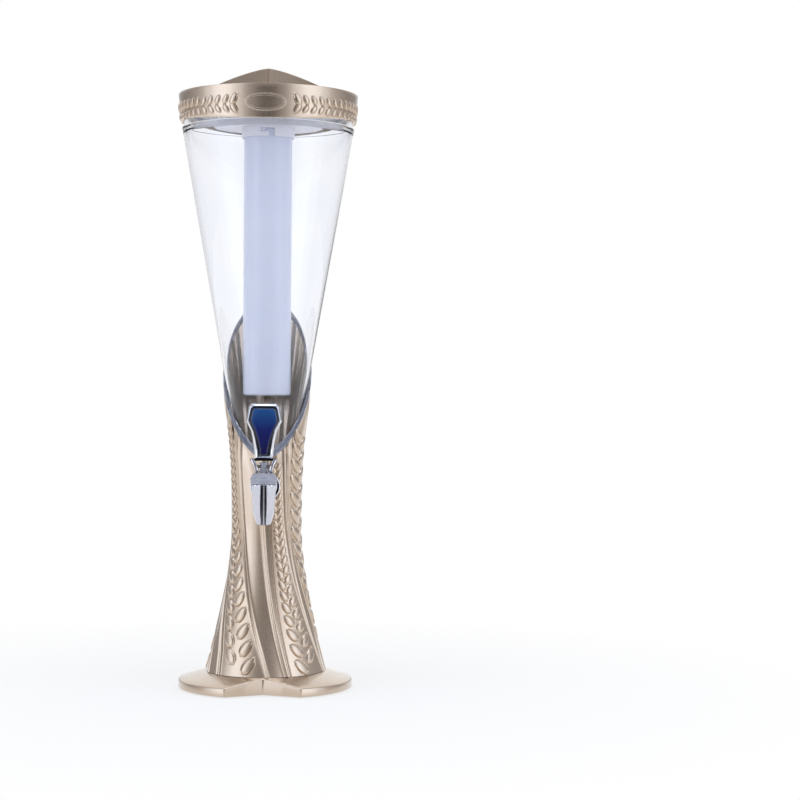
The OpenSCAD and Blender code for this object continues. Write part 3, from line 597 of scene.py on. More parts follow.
def wall(z, inside=False):
    """Azimuths in radians and radii in mm of the wall at heights z, one column per line of the mould."""
    angles, heights = section(z)
    even = np.tile(angles, PERIODS) + np.repeat(np.arange(PERIODS) * PERIOD, angles.shape[-1])
    azimuth = np.radians(spread(even, z) + rib_turn(z)[..., None])
    room = np.clip(spread(even + 1, z) - spread(even - 1, z), 0, 2) / 2
    radius = column_r(z)[..., None] + np.tile(heights, PERIODS) * room
    if inside:
        radius = np.maximum(radius - COLUMN_WALL, np.maximum(cone_r(z), WELL_R)[..., None] + CUP_GAP / 2)
        radius = radius + INNER_WAVE / 2 * (1 + np.sin(INNER_WAVES * azimuth))
    return azimuth, radius


def line_wall(z, inside=False):
    """As wall, but z has one height per line of the mould: only each line's own column is kept."""
    azimuth, radius = wall(z, inside)
    own = np.arange(LINES)
    return azimuth[..., own, own], radius[..., own, own]


def halved(is_below, size, low, high, halvings):
    """Heights at which a test of a height stops being true, by repeated halving between low and high."""
    low, high = np.full(size, low), np.full(size, high)
    for _ in range(halvings):
        mid = (low + high) / 2
        below = is_below(mid)
        low, high = np.where(below, mid, low), np.where(below, high, mid)
    return low


def column_rows(count, inside):
    """Rows of points from the foot to the slanting edge: each line of the mould is cut at its own top."""
    top = halved(lambda z: cut_z(*line_wall(z, inside)) > z, LINES, *EDGE_SEARCH)
    z = FOOT_Z + (top - FOOT_Z) * np.linspace(0, 1, count)[:, None]
    azimuth, radius = line_wall(z, inside)
    thinned = 0.0 if inside else EDGE_THINNED * np.exp(-(((top - z) / EDGE_LENGTH) ** 2))
    return around(azimuth, radius - thinned, z)


shell = np.concatenate([column_rows(120, False), column_rows(70, True)[::-1]])
ringed("column_moulding", shell, "tower", "champagne", ["column_shell"], closed=True)

# %% [markdown]
# ## Wheat ears
# Each wheat band carries an ear in relief: two rows of leaves that root on its middle line and lean
# outwards. A leaf is a closed tube whose width swells and shrinks along its length, so both ends close in
# a point. Round it run a low lip and a shallow moat, as a chaser would cut them, and they draw the leaf's
# outline. Down the flare the leaves grow with the band. Above the waist, the ears at the sides are cut
# larger, and the one at the back left is flatter.

# %% A leaf
LEAF_ROWS = np.linspace(0, 1, 8)
LEAF_ROOT = 0.5  # how far a leaf reaches into what carries it, in mm
LEAF_SKEW, LEAF_BLUNT = 0.82, 0.65  # below 1: widest nearer the root, and with blunter ends
LIP_SHARE, LIP_LEAST = 0.07, 0.25  # the lip's width: a share of the leaf's, plus mm
# round a leaf's section: share of its half width, of the lip's width, of its height, and lift in mm
LEAF_HALF = [[1, 1.9, 0, -0.4], [1, 0.9, 0, 0.26], [1, 0, 0, -0.06], [0.88, 0, 0.7, 0], [0.5, 0, 0.94, 0]]
LEAF_OTHER = [[-a, -b, c, d] for a, b, c, d in LEAF_HALF[::-1]]
LEAF_RING = np.array([*LEAF_HALF, [0, 0, 1, 0], *LEAF_OTHER, [0, 0, 0, -LEAF_ROOT]])
LEAF_FACES = grid_faces(len(LEAF_ROWS), len(LEAF_RING), wrap_columns=True)[:, ::-1]


def leaf(length, width, height):
    """A leaf along +y, widest near its root: the width is a skewed half sine, with a low lip round it."""
    u, ring = np.meshgrid(LEAF_ROWS, np.arange(len(LEAF_RING)), indexing="ij")
    across, beyond, up, lift = LEAF_RING[ring].transpose(2, 0, 1)
    swell = np.sin(np.pi * u**LEAF_SKEW) ** LEAF_BLUNT
    lip = (LIP_SHARE * width + LIP_LEAST) * swell**0.5
    x = width / 2 * swell * across + lip * beyond
    return np.stack([x, length * (u - 0.5), height * up * swell**0.5 + lift * swell**0.3])


def leaned(form, degrees):
    """A leaf turned in its own plane, positive towards +x."""
    c, s = math.cos(math.radians(degrees)), math.sin(math.radians(degrees))
    x, y, h = form
    return np.stack([x * c + y * s, y * c - x * s, h])


def cluster(leaves):
    """Points and faces of many leaves, each a grid of the same size."""
    step = leaves[0].shape[0] * leaves[0].shape[1]
    faces = np.concatenate([LEAF_FACES + k * step for k in range(len(leaves))])
    return np.concatenate([points.reshape(-1, 3) for points in leaves]), faces


# %% Ears
FOOT_PITCH, WAIST_PITCH = 17.0, 7.5  # between the leaves of a row, in mm
BIG_PITCH, TOP_PITCH, BIG_LEAN, BIG_TAPER = 17.0, 13.0, 43.0, (200, 260)
BIG_RELIEF = {1: 1.0, 2: 1.0, 3: 0.5}  # ears that stay large, and how high their relief is
# ears that get small towards the waist: how fast, first leaf's side, lean on the left and on the right
SMALL_EARS = {0: (1.5, -1, 51.0, 35.0), 4: (0.5, 1, 34.0, 33.0)}
WAIST_LEAN = 27.0
SETTLED = (40, 110)  # heights between which lean and place go from the foot's to the waist's
OUT_FOOT, OUT_WAIST = 0.5, 0.38  # how far out from the ear's middle a leaf's own middle lies, per pitch
FAR_ROW = {(0, 1): 0.54, (4, -1): 0.66}  # the same at the foot, for rows that face away
LEAF_LENGTH, LEAF_WIDTH = 1.25, 0.6  # per pitch
RELIEF, RELIEF_GROWTH = 0.95, 0.055  # a leaf's height in mm, and how much it grows per pitch
FOOT_GAP, EDGE_GAP, PROUD = 2.0, 3.0, 0.1  # from the foot, from the slanting edge, off the column, in mm


def leaf_plan(k, side, z):
    """Distance between the leaves of a row, and their lean in degrees, at a height."""
    if k in BIG_RELIEF:
        return float(np.interp(z, BIG_TAPER, [BIG_PITCH, TOP_PITCH])), BIG_LEAN
    growth, _, left, right = SMALL_EARS[k]
    pitch = WAIST_PITCH + (FOOT_PITCH - WAIST_PITCH) * float(below_waist(z)) ** growth
    return pitch, float(np.interp(z, SETTLED, [right if side > 0 else left, WAIST_LEAN]))


def ear_middle(k, z):
    """Azimuth in degrees of the middle line of ear k."""
    ends = np.array([border(WHEAT_START, z), border(WHEAT_END, z)]) + PERIOD * k
    return rib_turn(z) + float(np.mean(spread(ends, z)))


def ear_leaves(k):
    """Leaves of ear k, placed up its band one after another until the slanting edge cuts it off."""
    leaves = []
    z, side = FOOT_Z + FOOT_GAP, SMALL_EARS[k][1] if k in SMALL_EARS else 1
    while True:
        pitch, lean = leaf_plan(k, side, z)
        length = LEAF_LENGTH * pitch
        rise, run = length / 2 * math.cos(math.radians(lean)), length / 2 * math.sin(math.radians(lean))
        middle = math.radians(float(ear_middle(k, z + rise)))
        if z + length + EDGE_GAP > float(cut_z(middle, column_r(z))):
            return leaves
        relief = (RELIEF + RELIEF_GROWTH * pitch) * BIG_RELIEF.get(k, 1.0)
        x, y, h = leaned(leaf(length, LEAF_WIDTH * pitch, relief), lean * side)
        height = z + rise + y
        out = float(np.interp(z, SETTLED, [FAR_ROW.get((k, side), OUT_FOOT), OUT_WAIST]))
        across = x + side * max(run, out * pitch)
        leaves.append(around(middle + across / column_r(height), column_r(height) + PROUD + h, height))
        z, side = z + pitch / 2, -side


ears = [points for k in range(PERIODS) for points in ear_leaves(k)]
dressed("wheat_ears", *cluster(ears), "tower", "champagne", sharp=50)
print("leaves on the column:", len(ears))

# %% [markdown]
# ## Clear trim of the cup
# A clear strip finishes the slanting edge of the column. Its section is a flat bar with a bead along each
# side. It is carried round the edge: at each azimuth, its points are found where the bar's side meets the
# edge's surface, lifted by the point's own height.

# %% Trim
TRIM_PROUD = -1.2  # against the column's full outer radius
TRIM_LIFT = 2.4  # height of the beads over the edge
TRIM_SEARCH = (200.0, 440.0, 26)  # as EDGE_SEARCH, for the strip, which also lies higher than the edge
BAR = [[0.0, 0.0], [1.0, 0.0], [1.0, 0.85], [0.8, 1.0], [0.6, 0.55], [0.4, 0.55], [0.2, 1.0], [0.0, 0.85]]
TRIM_SECTION = rounded(BAR, 0.1, 2)  # shares of the way outwards and of the lift


def bar_r(z, across):
    """Radius at a share of the way from the cone to just outside the column."""
    return (1 - across) * (cone_r(z) + CUP_GAP / 2) + across * (column_r(z) + TRIM_PROUD)


azimuth = np.linspace(0, 2 * np.pi, 240, endpoint=False)
across, up = (share[:, None] for share in TRIM_SECTION.T)
grid = (len(across), len(azimuth))
z = halved(lambda z: cut_z(azimuth, bar_r(z, across)) + up * TRIM_LIFT > z, grid, *TRIM_SEARCH)
trim = around(azimuth, bar_r(z, across), z)
ringed("cup_trim", trim, "tower", "clear", ["opening_trim"], strip, closed=True)

# %% [markdown]
# ## Clear cone
# The vessel is one clear moulding: cone, stiffened rim, outlet well and threaded stub. It is turned from
# one closed outline with rounded corners, so that light bends smoothly through the wall.

# %% Cone
RIM_R, RIM_Z, RIM_WALL = 84.2, 566.0, 3.6
CONE_WALL, RIM_STEP = 2.5, 6.0
WELL_TOP = CONE_SHOULDER - (CONE_TOP_R - WELL_R) / CONE_SLOPE
WELL_FLOOR, FLOOR_T, FLOOR_SKIN = 186.0, 3.0, 1.0
STUB_R, STUB_WALL, STUB_LOW = 12.0, 2.5, 171.0
inside = CONE_WALL / math.cos(CONE_ANGLE)
step_z = CONE_SHOULDER - RIM_STEP
vessel_outline = [
    [STUB_R - STUB_WALL, STUB_LOW],
    [STUB_R, STUB_LOW],
    [STUB_R, WELL_FLOOR],
    [WELL_R, WELL_FLOOR],
    [WELL_R, WELL_TOP],
    [CONE_TOP_R, CONE_SHOULDER],
    [RIM_R, CONE_SHOULDER],
    [RIM_R, RIM_Z],
    [RIM_R - RIM_WALL, RIM_Z],
    [RIM_R - RIM_WALL, CONE_SHOULDER],
    [float(cone_r(step_z)) - inside, step_z],
    [WELL_R - CONE_WALL, WELL_TOP],
    [WELL_R - CONE_WALL, WELL_FLOOR + FLOOR_T],
    [0, WELL_FLOOR + FLOOR_T],
    [0, WELL_FLOOR + FLOOR_SKIN],
    [STUB_R - STUB_WALL, WELL_FLOOR + FLOOR_SKIN],
]
vessel = turned(rounded(vessel_outline, 0.8), 192)
ringed("clear_cone", vessel, "tower", "clear", ["vessel"], closed=True, sharp=60)

# %% [markdown]
# ## Pad for the tap
# The tap's shank goes through a round pad on the side of the outlet well. It is a turned ring laid down.

# %% Pad
PAD_R, PAD_IN, PAD_OUT, SHANK_R, SHANK_PLAY = 10.5, 23.0, 29.5, 7.0, 0.1
TAP_Z = 202.0
BORE_R = SHANK_R + SHANK_PLAY
pad = turned(rounded([[BORE_R, PAD_IN], [PAD_R, PAD_IN], [PAD_R, PAD_OUT], [BORE_R, PAD_OUT]], 0.4), 72)
ringed("tap_boss", place(lying(pad, -1), z=TAP_Z), "tower", "clear", ["vessel"], closed=True)

# %% [markdown]
# ## Ice tube
# A milky tube with a closed, rounded end hangs inside the cone. Three lugs near its mouth lock into the
# collar of the lid. A lug is a rounded bar carried along a short arc, and its two ends are then filled.

# %% Ice tube
TUBE_R, TUBE_WALL, TUBE_END, TUBE_TOP = 24.0, 1.8, 291.0, 553.8
END_R = TUBE_R - 0.2  # the tube's draft: it is this much thinner at its closed end
tube_outline = [
    [0, TUBE_END],
    [END_R, TUBE_END],
    [TUBE_R, TUBE_TOP],
    [TUBE_R - TUBE_WALL, TUBE_TOP],
    [END_R - TUBE_WALL, TUBE_END + TUBE_WALL],
    [0, TUBE_END + TUBE_WALL],
]
tube = turned(rounded(tube_outline, 3.0, 6), 128)
ringed("milky_tube", tube, "ice_tube", "milky", ["ice_tube"], closed=True, sharp=60)

# %% Lugs
LUG_LOW, LUG_H, LUG_HALF, TWIST = 551.4, 2.4, 5.0, 18.0
COLLAR_IN, COLLAR_OUT = 24.5, 26.3
LUG_IN, LUG_OUT = TUBE_R - 0.5, COLLAR_OUT - 0.3
r, z = rounded([[LUG_IN, 0], [LUG_OUT, 0], [LUG_OUT, LUG_H], [LUG_IN, LUG_H]], 0.5, 2).T
for k in range(3):
    arc = np.radians(120 * k - TWIST / 2 + np.linspace(-LUG_HALF, LUG_HALF, 7))
    lug = around(arc[None, :], r[:, None], LUG_LOW + z[:, None])
    faces = grid_faces(*lug.shape[:2], wrap_rows=True)
    lug_piece = dressed(f"tube_lug_{k + 1}", lug, faces, "ice_tube", "milky", ["ice_tube"])
    bm = bmesh.new()
    bm.from_mesh(lug_piece.data)
    bmesh.ops.holes_fill(bm, edges=bm.edges, sides=0)
    bmesh.ops.recalc_face_normals(bm, faces=bm.faces)
    bm.to_mesh(lug_piece.data)
    bm.free()

# %% [markdown]
# ## Lid: band
# The band leans outwards a little, and its lower edge rises from the front to the sides in a shallow
# wave, because a level cylinder cut it. It is one closed ring: outside, top, inner skirt, shelf and lip.

# %% Band
BAND_TOP_Z, BAND_LOW_Z, BAND_TOP_R = 589.4, 556.8, 89.5
BAND_WAVE = 7.0
WAVE_R = BAND_TOP_R**2 / (2 * BAND_WAVE)
LID_WALL = 2.2
SHELF_IN, SHELF_Z, SKIRT_Z = 58.0, 570.0, 572.4
LIP_IN = RIM_R + 0.3
EDGE = 0.7  # rounding of the band's edges


def band_r(z):
    """Outer radius of the band, which leans outwards evenly."""
    return CONE_TOP_R + (BAND_TOP_R - CONE_TOP_R) * (z - CONE_SHOULDER) / (BAND_TOP_Z - CONE_SHOULDER)


def wave_z(azimuth, radius):
    """Lower edge: a circle of radius WAVE_R seen from the front, lowest at the middle."""
    return BAND_LOW_Z + WAVE_R - np.sqrt(WAVE_R**2 - (radius * np.sin(azimuth)) ** 2)


azimuth = np.linspace(0, 2 * np.pi, 288, endpoint=False)
low = wave_z(azimuth, CONE_TOP_R)
share = np.linspace(0, 1, 12)[:, None]
side_z = (low + EDGE) * (1 - share) + (BAND_TOP_Z - EDGE) * share
flat = np.ones_like(azimuth)
skirt_r = band_r(SKIRT_Z) - LID_WALL
rows = [
    ((LIP_IN + band_r(low)) / 2, low),
    (band_r(low) - EDGE * 0.4, low + EDGE * 0.15),
    *[(band_r(z), z) for z in side_z],
    (band_r(BAND_TOP_Z) * flat - 0.35 * EDGE, (BAND_TOP_Z - 0.2 * EDGE) * flat),
    (band_r(BAND_TOP_Z) * flat - EDGE, BAND_TOP_Z * flat),
    ((BAND_TOP_R - LID_WALL) * flat, BAND_TOP_Z * flat),
    (skirt_r * flat, SKIRT_Z * flat),
    (SHELF_IN * flat, SKIRT_Z * flat),
    (SHELF_IN * flat, SHELF_Z * flat),
    (LIP_IN * flat, SHELF_Z * flat),
    (LIP_IN * flat, np.maximum(low, BAND_LOW_Z)),
]
band = np.stack([around(azimuth, r, z) for r, z in rows])
ringed("lid_band_ring", band, "lid", "champagne", ["lid_band"], closed=True, sharp=40)

# %% [markdown]
# ## Lid: garland
# Twelve pairs of leaves run from the plaque to each side of the band, and the same again behind. They are
# the column's leaves, bent round the band, and both leaves of a pair lean back from the garland's middle.

# %% Garland
GARLAND_Z = 570.0
GARLAND_FIRST, GARLAND_STEP, GARLAND_PAIRS = 20.1, 5.85, 12
# length, width and height of a leaf, and its lean from upright: above and below the garland's middle
GARLAND_LEAVES = {1: (12.0, 4.8, 1.7, 32.0), -1: (10.6, 4.6, 1.6, 40.0)}
FIRST_PAIR = 1.3  # the pair next to the plaque is a little larger


def garland_leaf(face, side, k, up):
    """Leaf of pair k on one side of the front (face 0) or of the back (180), above or below the middle."""
    *size, lean = GARLAND_LEAVES[up]
    x, y, h = leaned(leaf(*size), lean) * (FIRST_PAIR if k == 0 else 1.0)
    height = GARLAND_Z + up * (size[0] / 2 * math.cos(math.radians(lean)) + y)
    centre = math.radians(face + side * (GARLAND_FIRST + GARLAND_STEP * k))
    points = around(centre - side * x / BAND_TOP_R, band_r(height) + h, height)
    return points[:, ::-1] if side * up < 0 else points


garland = [
    garland_leaf(face, side, k, up)
    for face in (0, 180)
    for side in (-1, 1)
    for k in range(GARLAND_PAIRS)
    for up in GARLAND_LEAVES
]
dressed("garland", *cluster(garland), "lid", "champagne", sharp=50)
print("leaves on the lid:", len(garland))

# %% [markdown]
# ## Plaque
# A bare oval plaque marks the front of the band, almost flush with it. It is a polar grid over an
# ellipse: along each spoke the height steps down twice, and these two fine grooves draw its outline. Extra
# rings beside the grooves keep the plaque itself flat where the shading is smoothed.

# %% Plaque
PLAQUE_W, PLAQUE_H, PLAQUE_Z = 40.0, 18.2, 571.7
# drawn in from the edge in mm, share of the way out from the middle, height above the band in mm
PLAQUE_RINGS = np.array(
    [
        [0.0, 1.0, -0.4],
        [0.05, 1.0, 0.1],
        [0.4, 1.0, 0.2],
        [0.7, 1.0, 0.2],
        [0.9, 1.0, 0.05],
        [1.25, 1.0, 0.05],
        [1.45, 1.0, 0.2],
        [1.6, 1.0, 0.2],
        [2.5, 1.0, 0.2],
        [2.7, 1.0, 0.2],
        [2.8, 1.0, 0.13],
        [3.0, 1.0, 0.13],
        [3.1, 1.0, 0.2],
        [3.3, 1.0, 0.2],
        [3.3, 0.6, 0.2],
        [3.1, 0.3, 0.2],
        [3.1, 0.0, 0.2],
    ]
)
drawn_in, outwards, rise = PLAQUE_RINGS.T[..., None]
turn = np.linspace(0, 2 * np.pi, 120, endpoint=False)
x = (PLAQUE_W / 2 - drawn_in) * outwards * np.sin(turn)
height = PLAQUE_Z + (PLAQUE_H / 2 - drawn_in) * outwards * np.cos(turn)
plaque = around(x / band_r(height), band_r(height) + rise, height)
ringed("plaque", plaque, "lid", "champagne", sharp=14)

# %% [markdown]
# ## Lid: crown
# The crown is a low dome inside a level ring. Its front is cut away by a wide V, so that fingers can lift
# the lid. The grid is polar about the V's point: spokes behind the V lie on the dome, spokes inside it
# lie on the notch's floor, and the two steps between them are the notch's walls, with a soft edge.

# %% Crown
CROWN_R, CROWN_H, CROWN_WALL = 87.1, 28.3, 2.2
GRIP_APEX, GRIP_HALF, GRIP_Z = 6.0, math.radians(80), 585.4
DOME_FALL, DOME_BOW = 0.78, 0.6  # how far the dome falls towards the rim: evenly, and ever faster
CREASE, TIP = 0.05, 0.02  # softness of the fold between the dome and its ring, and of the dome's tip
SKIRT_PLAY, UNDER_BACK = 0.2, 0.5  # in mm: gap to the band, and how far back the walls stand underneath
# the soft edge of the notch's wall: back from the wall, and down, in mm
WALL_BEVEL = np.array([[0.0, 0.0], [0.0, 1.0], [0.25, 0.35], [0.9, 0.0]])


def crown_z(r):
    """Height of the crown: a dome that falls ever faster, and a level ring, joined by a soft maximum."""
    t = np.hypot(r / CROWN_R, TIP)
    dome = 1 - DOME_FALL * t - DOME_BOW * t * t
    return BAND_TOP_Z + CROWN_H * (dome + np.hypot(dome, CREASE)) / 2


def spokes(angles, back, steps, rim):
    """Points on spokes from the notch's point to a rim, each moved back from the notch's wall."""
    apex = GRIP_APEX - back
    reach = np.sqrt(rim**2 - (apex * np.sin(angles)) ** 2) - apex * np.cos(angles)
    return steps * reach * np.sin(angles), -apex - steps * reach * np.cos(angles)


steps = np.linspace(0, 1, 40)[:, None] ** 1.2  # closer together near the notch's point
dome_side = np.linspace(GRIP_HALF, 2 * np.pi - GRIP_HALF, 130)[1:-1]
floor_side = np.linspace(-GRIP_HALF, GRIP_HALF, 50)[1:-1]
wall_side = np.full(len(WALL_BEVEL), GRIP_HALF)
angles = np.concatenate([wall_side, dome_side, -wall_side, floor_side])
no_dome, no_floor = np.zeros_like(dome_side), np.zeros_like(floor_side)
bevel_back, bevel_fall = WALL_BEVEL.T
on_bevel = bevel_back + bevel_fall > 0
on_dome = np.concatenate([on_bevel, no_dome == 0, on_bevel[::-1], no_floor > 0])
back = np.concatenate([bevel_back, no_dome + bevel_back[-1], bevel_back[::-1], no_floor])
fall = np.concatenate([bevel_fall, no_dome, bevel_fall[::-1], no_floor])
x, y = spokes(angles, back, steps, CROWN_R)
top = np.stack([x, y, np.where(on_dome, crown_z(np.hypot(x, y)) - fall, GRIP_Z)], -1) * MM
skirt = float(band_r(SKIRT_Z)) - LID_WALL - SKIRT_PLAY
x, y = spokes(angles, CROWN_WALL + UNDER_BACK, steps[::-1], skirt - CROWN_WALL)
under = np.stack([x, y, np.where(on_dome, crown_z(np.hypot(x, y)), GRIP_Z) - CROWN_WALL], -1) * MM
rim_angles = np.arctan2(top[-1, :, 0], -top[-1, :, 1])
feet = [around(rim_angles, r, SKIRT_Z) for r in (skirt, skirt - CROWN_WALL)]
crown = np.concatenate([top, np.stack(feet), under])
ringed("lid_crown_cone", crown, "lid", "champagne", ["lid_crown"], sharp=30)

# %% [markdown]
# ## Lid: plug and collar
# Under the band a plug closes the cone, and the ice tube locks into its collar. The plug is turned. The
# collar is a ring of faces with its three angled windows left out, given a wall by Solidify.

# %% Plug and collar
PLUG_R, PLUG_LOW, PLUG_TOP, PLUG_WALL, FLANGE_R = 54.0, 556.0, 567.5, 2.0, 83.2
plug_outline = [
    [0, PLUG_LOW],
    [PLUG_R, PLUG_LOW],
    [PLUG_R, PLUG_TOP],
    [FLANGE_R, PLUG_TOP],
    [FLANGE_R, SHELF_Z],
    [PLUG_R - PLUG_WALL, SHELF_Z],
    [PLUG_R - PLUG_WALL, PLUG_LOW + PLUG_WALL],
    [0, PLUG_LOW + PLUG_WALL],
]
plug = turned(rounded(plug_outline, 0.8), 144)
ringed("lid_plug_cup", plug, "lid", "frosted", ["lid_plug"], closed=True, sharp=60)

COLLAR_LOW = 546.0
SLOT_PLAY, OPEN_HALF, ENTRY = 0.3, 15, (3, 15)  # play in mm; the window's and the entry's reach in degrees
degrees = np.arange(0, 360)
levels = np.array([COLLAR_LOW, LUG_LOW - SLOT_PLAY, LUG_LOW + LUG_H + SLOT_PLAY, PLUG_LOW + 0.5])
collar = around(np.radians(degrees)[None, :], COLLAR_OUT, levels[:, None])
faces = grid_faces(len(levels), len(degrees), wrap_columns=True)
offset = (np.tile(degrees, 3) + 0.5 + 60) % 120 - 60  # of each face, from the nearest window's middle
row = np.repeat(np.arange(3), len(degrees))
window = (row == 1) & (np.abs(offset) < OPEN_HALF)
entry = (row == 0) & (offset > ENTRY[0]) & (offset < ENTRY[1])
kept = faces[~(window | entry)]
collar_ring = dressed("lid_collar", collar, kept, "lid", "frosted", ["lid_plug"], sharp=60)
wall_maker = collar_ring.modifiers.new("wall", "SOLIDIFY")
wall_maker.thickness = (COLLAR_OUT - COLLAR_IN) * MM
wall_maker.offset = -1
soften = collar_ring.modifiers.new("soften", "BEVEL")
soften.width = 0.25 * MM
soften.segments = 2
soften.limit_method = "ANGLE"
soften.angle_limit = math.radians(40)

# %% [markdown]
# ## Tap body
# The spout is cut like a gem: twelve upright faces, and below them twelve slanting ones that are turned
# by half a face. A face at a distance from the axis has radius distance / cos(angle from its middle), and
# the spout's radius is the smaller of the two sets. The front face runs on to the mouth as a keel, with
# a bead on its middle line. The arm is turned and laid down.

# %% Spout
TAP_Y = -75.0
SPOUT_L, BODY_TOP, BODY_LIP = 35.0, 4.3, 1.0
SPOUT_R, ROUND_TAPER = 12.5, 2.4  # the round blank that the faces are cut from, and how much it narrows
FACES_ROUND = 12
FACE_IN, FACE_TAPER = 0.955, 2.9  # the upright faces: how far out as a share, and how much they lean
# the slanting faces: distance at the mouth, how much more higher up, over which share, and how bowed
SLANT_MOUTH, SLANT_GROWTH, SLANT_SHARE, SLANT_BOW = 6.1, 5.0, 0.43, 0.8
KEEL_TOP, KEEL_MOUTH, KEEL_PROUD = 4.0, 2.6, 0.3  # half widths, and height over the front face
BEAD_H, BEAD_X, BEAD_W = 0.2, 0.4, 0.35  # height, place aside and width
MOUTH_R, MOUTH_TOP = 4.6, -16.0
ON_AXIS = 0.01  # radius of a ring that closes to a point, in mm


def at_tap(points, up=0.0):
    """Points moved to the spout's axis, with their zero at the arm's height or at a height over it."""
    return place(points, y=TAP_Y, z=TAP_Z + up)


def facet(azimuth, turned_by):
    """1 / cos of the angle from the nearest face's middle."""
    step = 2 * np.pi / FACES_ROUND
    off = (azimuth + turned_by + step / 2) % step - step / 2
    return 1 / np.cos(off)


def spout_r(azimuth, down):
    """Radius of the spout at a share of its length down: the nearer of the upright and slanting faces."""
    upright = (SPOUT_R - FACE_TAPER * down) * FACE_IN
    slanting = SLANT_MOUTH + SLANT_GROWTH * np.clip((1 - down) / SLANT_SHARE, 0, None) ** SLANT_BOW
    r = np.minimum(upright * facet(azimuth, 0.0), slanting * facet(azimuth, np.pi / FACES_ROUND))
    off_front = (azimuth + np.pi) % (2 * np.pi) - np.pi
    aside = upright * np.tan(np.clip(off_front, -1, 1))
    half = KEEL_TOP + (KEEL_MOUTH - KEEL_TOP) * down
    bead = BEAD_H * np.exp(-(((aside - BEAD_X) / BEAD_W) ** 2))
    keel = (upright + KEEL_PROUD + bead) / np.cos(off_front)
    r = np.where((np.abs(off_front) < 1) & (np.abs(aside) < half), keel, r)
    return np.minimum(r, SPOUT_R - ROUND_TAPER * down)


azimuth = np.linspace(0, 2 * np.pi, 240, endpoint=False)[None, :]
down = np.concatenate([np.linspace(0, 0.97, 56), [0.99, 1.0]])[:, None]
top_r = spout_r(azimuth, 0.0)
spout_z = BODY_TOP - BODY_LIP - down * (SPOUT_L + BODY_TOP - BODY_LIP)
mouth_edge = 0.5 * (down > 0.995)  # the last ring is drawn in
flat = np.zeros_like(azimuth)
spout = np.concatenate(
    [
        around(azimuth, flat + ON_AXIS, flat + BODY_TOP),
        around(azimuth, top_r - 1.2, flat + BODY_TOP),
        around(azimuth, top_r - 0.4, flat + BODY_TOP - 0.25),
        around(azimuth, spout_r(azimuth, down) - mouth_edge, spout_z),
        around(azimuth, flat + MOUTH_R, flat - SPOUT_L),
        around(azimuth, flat + MOUTH_R, flat + MOUTH_TOP),
        around(azimuth, flat + ON_AXIS, flat + MOUTH_TOP),
    ]
)
ringed("tap_spout", at_tap(spout), "tower", "chrome", ["tap_body"], plated, flip=True, sharp=32)

# %% Arm
ARM_R, ARM_L, SHANK_END = 10.8, 43.5, 57.5
COVER_R, COVER_Y, COVER_T = 14.8, 35.5, 3.0  # the cover ring on the arm, in front of the column
NECK = 1.5  # how much thinner the arm is inside the spout
arm_outline = [
    [0, 0],
    [ARM_R - NECK, 0],
    [ARM_R - NECK, 8],
    [ARM_R, 13],
    [ARM_R, COVER_Y],
    [COVER_R, COVER_Y],
    [COVER_R, COVER_Y + COVER_T],
    [ARM_R, COVER_Y + COVER_T],
    [ARM_R, ARM_L],
    [SHANK_R, ARM_L],
    [SHANK_R, SHANK_END],
    [0, SHANK_END],
]
arm = lying(turned(rounded(arm_outline, 1.2), 96))
ringed("tap_arm", at_tap(arm), "tower", "chrome", ["tap_body"], closed=True, sharp=50)

# %% [markdown]
# ## Bonnet
# A translucent nut with a stepped lower ring screws over the spout and guides the stem. It is turned
# from its outline of radius and height over the arm's axis.

# %% Bonnet
bonnet_outline = [
    [3.1, 12.4],
    [10.45, 12.4],
    [10.45, BODY_TOP],
    [12.9, BODY_TOP],
    [12.9, 6.2],
    [12.5, 6.5],
    [13.2, 8.0],
    [12.9, 9.4],
    [12.6, 9.6],
    [12.6, 10.6],
    [12.2, 11.6],
    [11.5, 12.2],
    [11.3, 13.4],
    [10.2, 14.8],
    [3.1, 14.8],
]
bonnet = turned(rounded(bonnet_outline, 0.5), 96)
ringed("tap_bonnet_nut", at_tap(bonnet), "tower", "frosted", ["tap_bonnet"], smoky, closed=True, sharp=50)

# %% [markdown]
# ## Valve stem
# The stem is one moulding: a plate that carries the seal, a rod, and a flat head for the pivot pin. Seen
# from the front the head narrows at the pin, so that the yoke's light shows beside it. It is a stack of
# rings that go from round to square: radius / (|cos|^n + |sin|^n)^(1/n), with n from 2 to 7.

# %% Stem
STEM_LOW, STEM_R, STEM_PLATE_R = -2.0, 3.0, 7.0
# height, half width, half depth, squareness
STEM_ROWS = np.array(
    [
        [STEM_LOW, ON_AXIS, ON_AXIS, 2],
        [STEM_LOW, STEM_PLATE_R, STEM_PLATE_R, 2],
        [STEM_LOW + 1.2, STEM_PLATE_R, STEM_PLATE_R, 2],
        [STEM_LOW + 1.2, STEM_R, STEM_R, 2],
        [15.2, STEM_R, STEM_R, 2],
        [15.5, 4.7, 2.9, 5],
        [16.6, 4.9, 3.0, 7],
        [20.2, 2.4, 3.0, 7],
        [21.8, 2.4, 3.0, 7],
        [24.2, 4.9, 3.0, 7],
        [24.8, 4.8, 2.8, 6],
        [25.0, 4.3, 2.4, 5],
        [25.0, ON_AXIS, ON_AXIS, 5],
    ]
)
turn = np.linspace(0, 2 * np.pi, 64, endpoint=False)
height, half_x, half_y, square = STEM_ROWS.T[..., None]
out = (np.abs(np.cos(turn)) ** square + np.abs(np.sin(turn)) ** square) ** (-1 / square)
stem = np.stack([half_x * out * np.cos(turn), half_y * out * np.sin(turn), height + 0 * turn], -1) * MM
ringed("valve_stem", at_tap(stem), "stem", "frosted", ["tap_stem"], smoky)
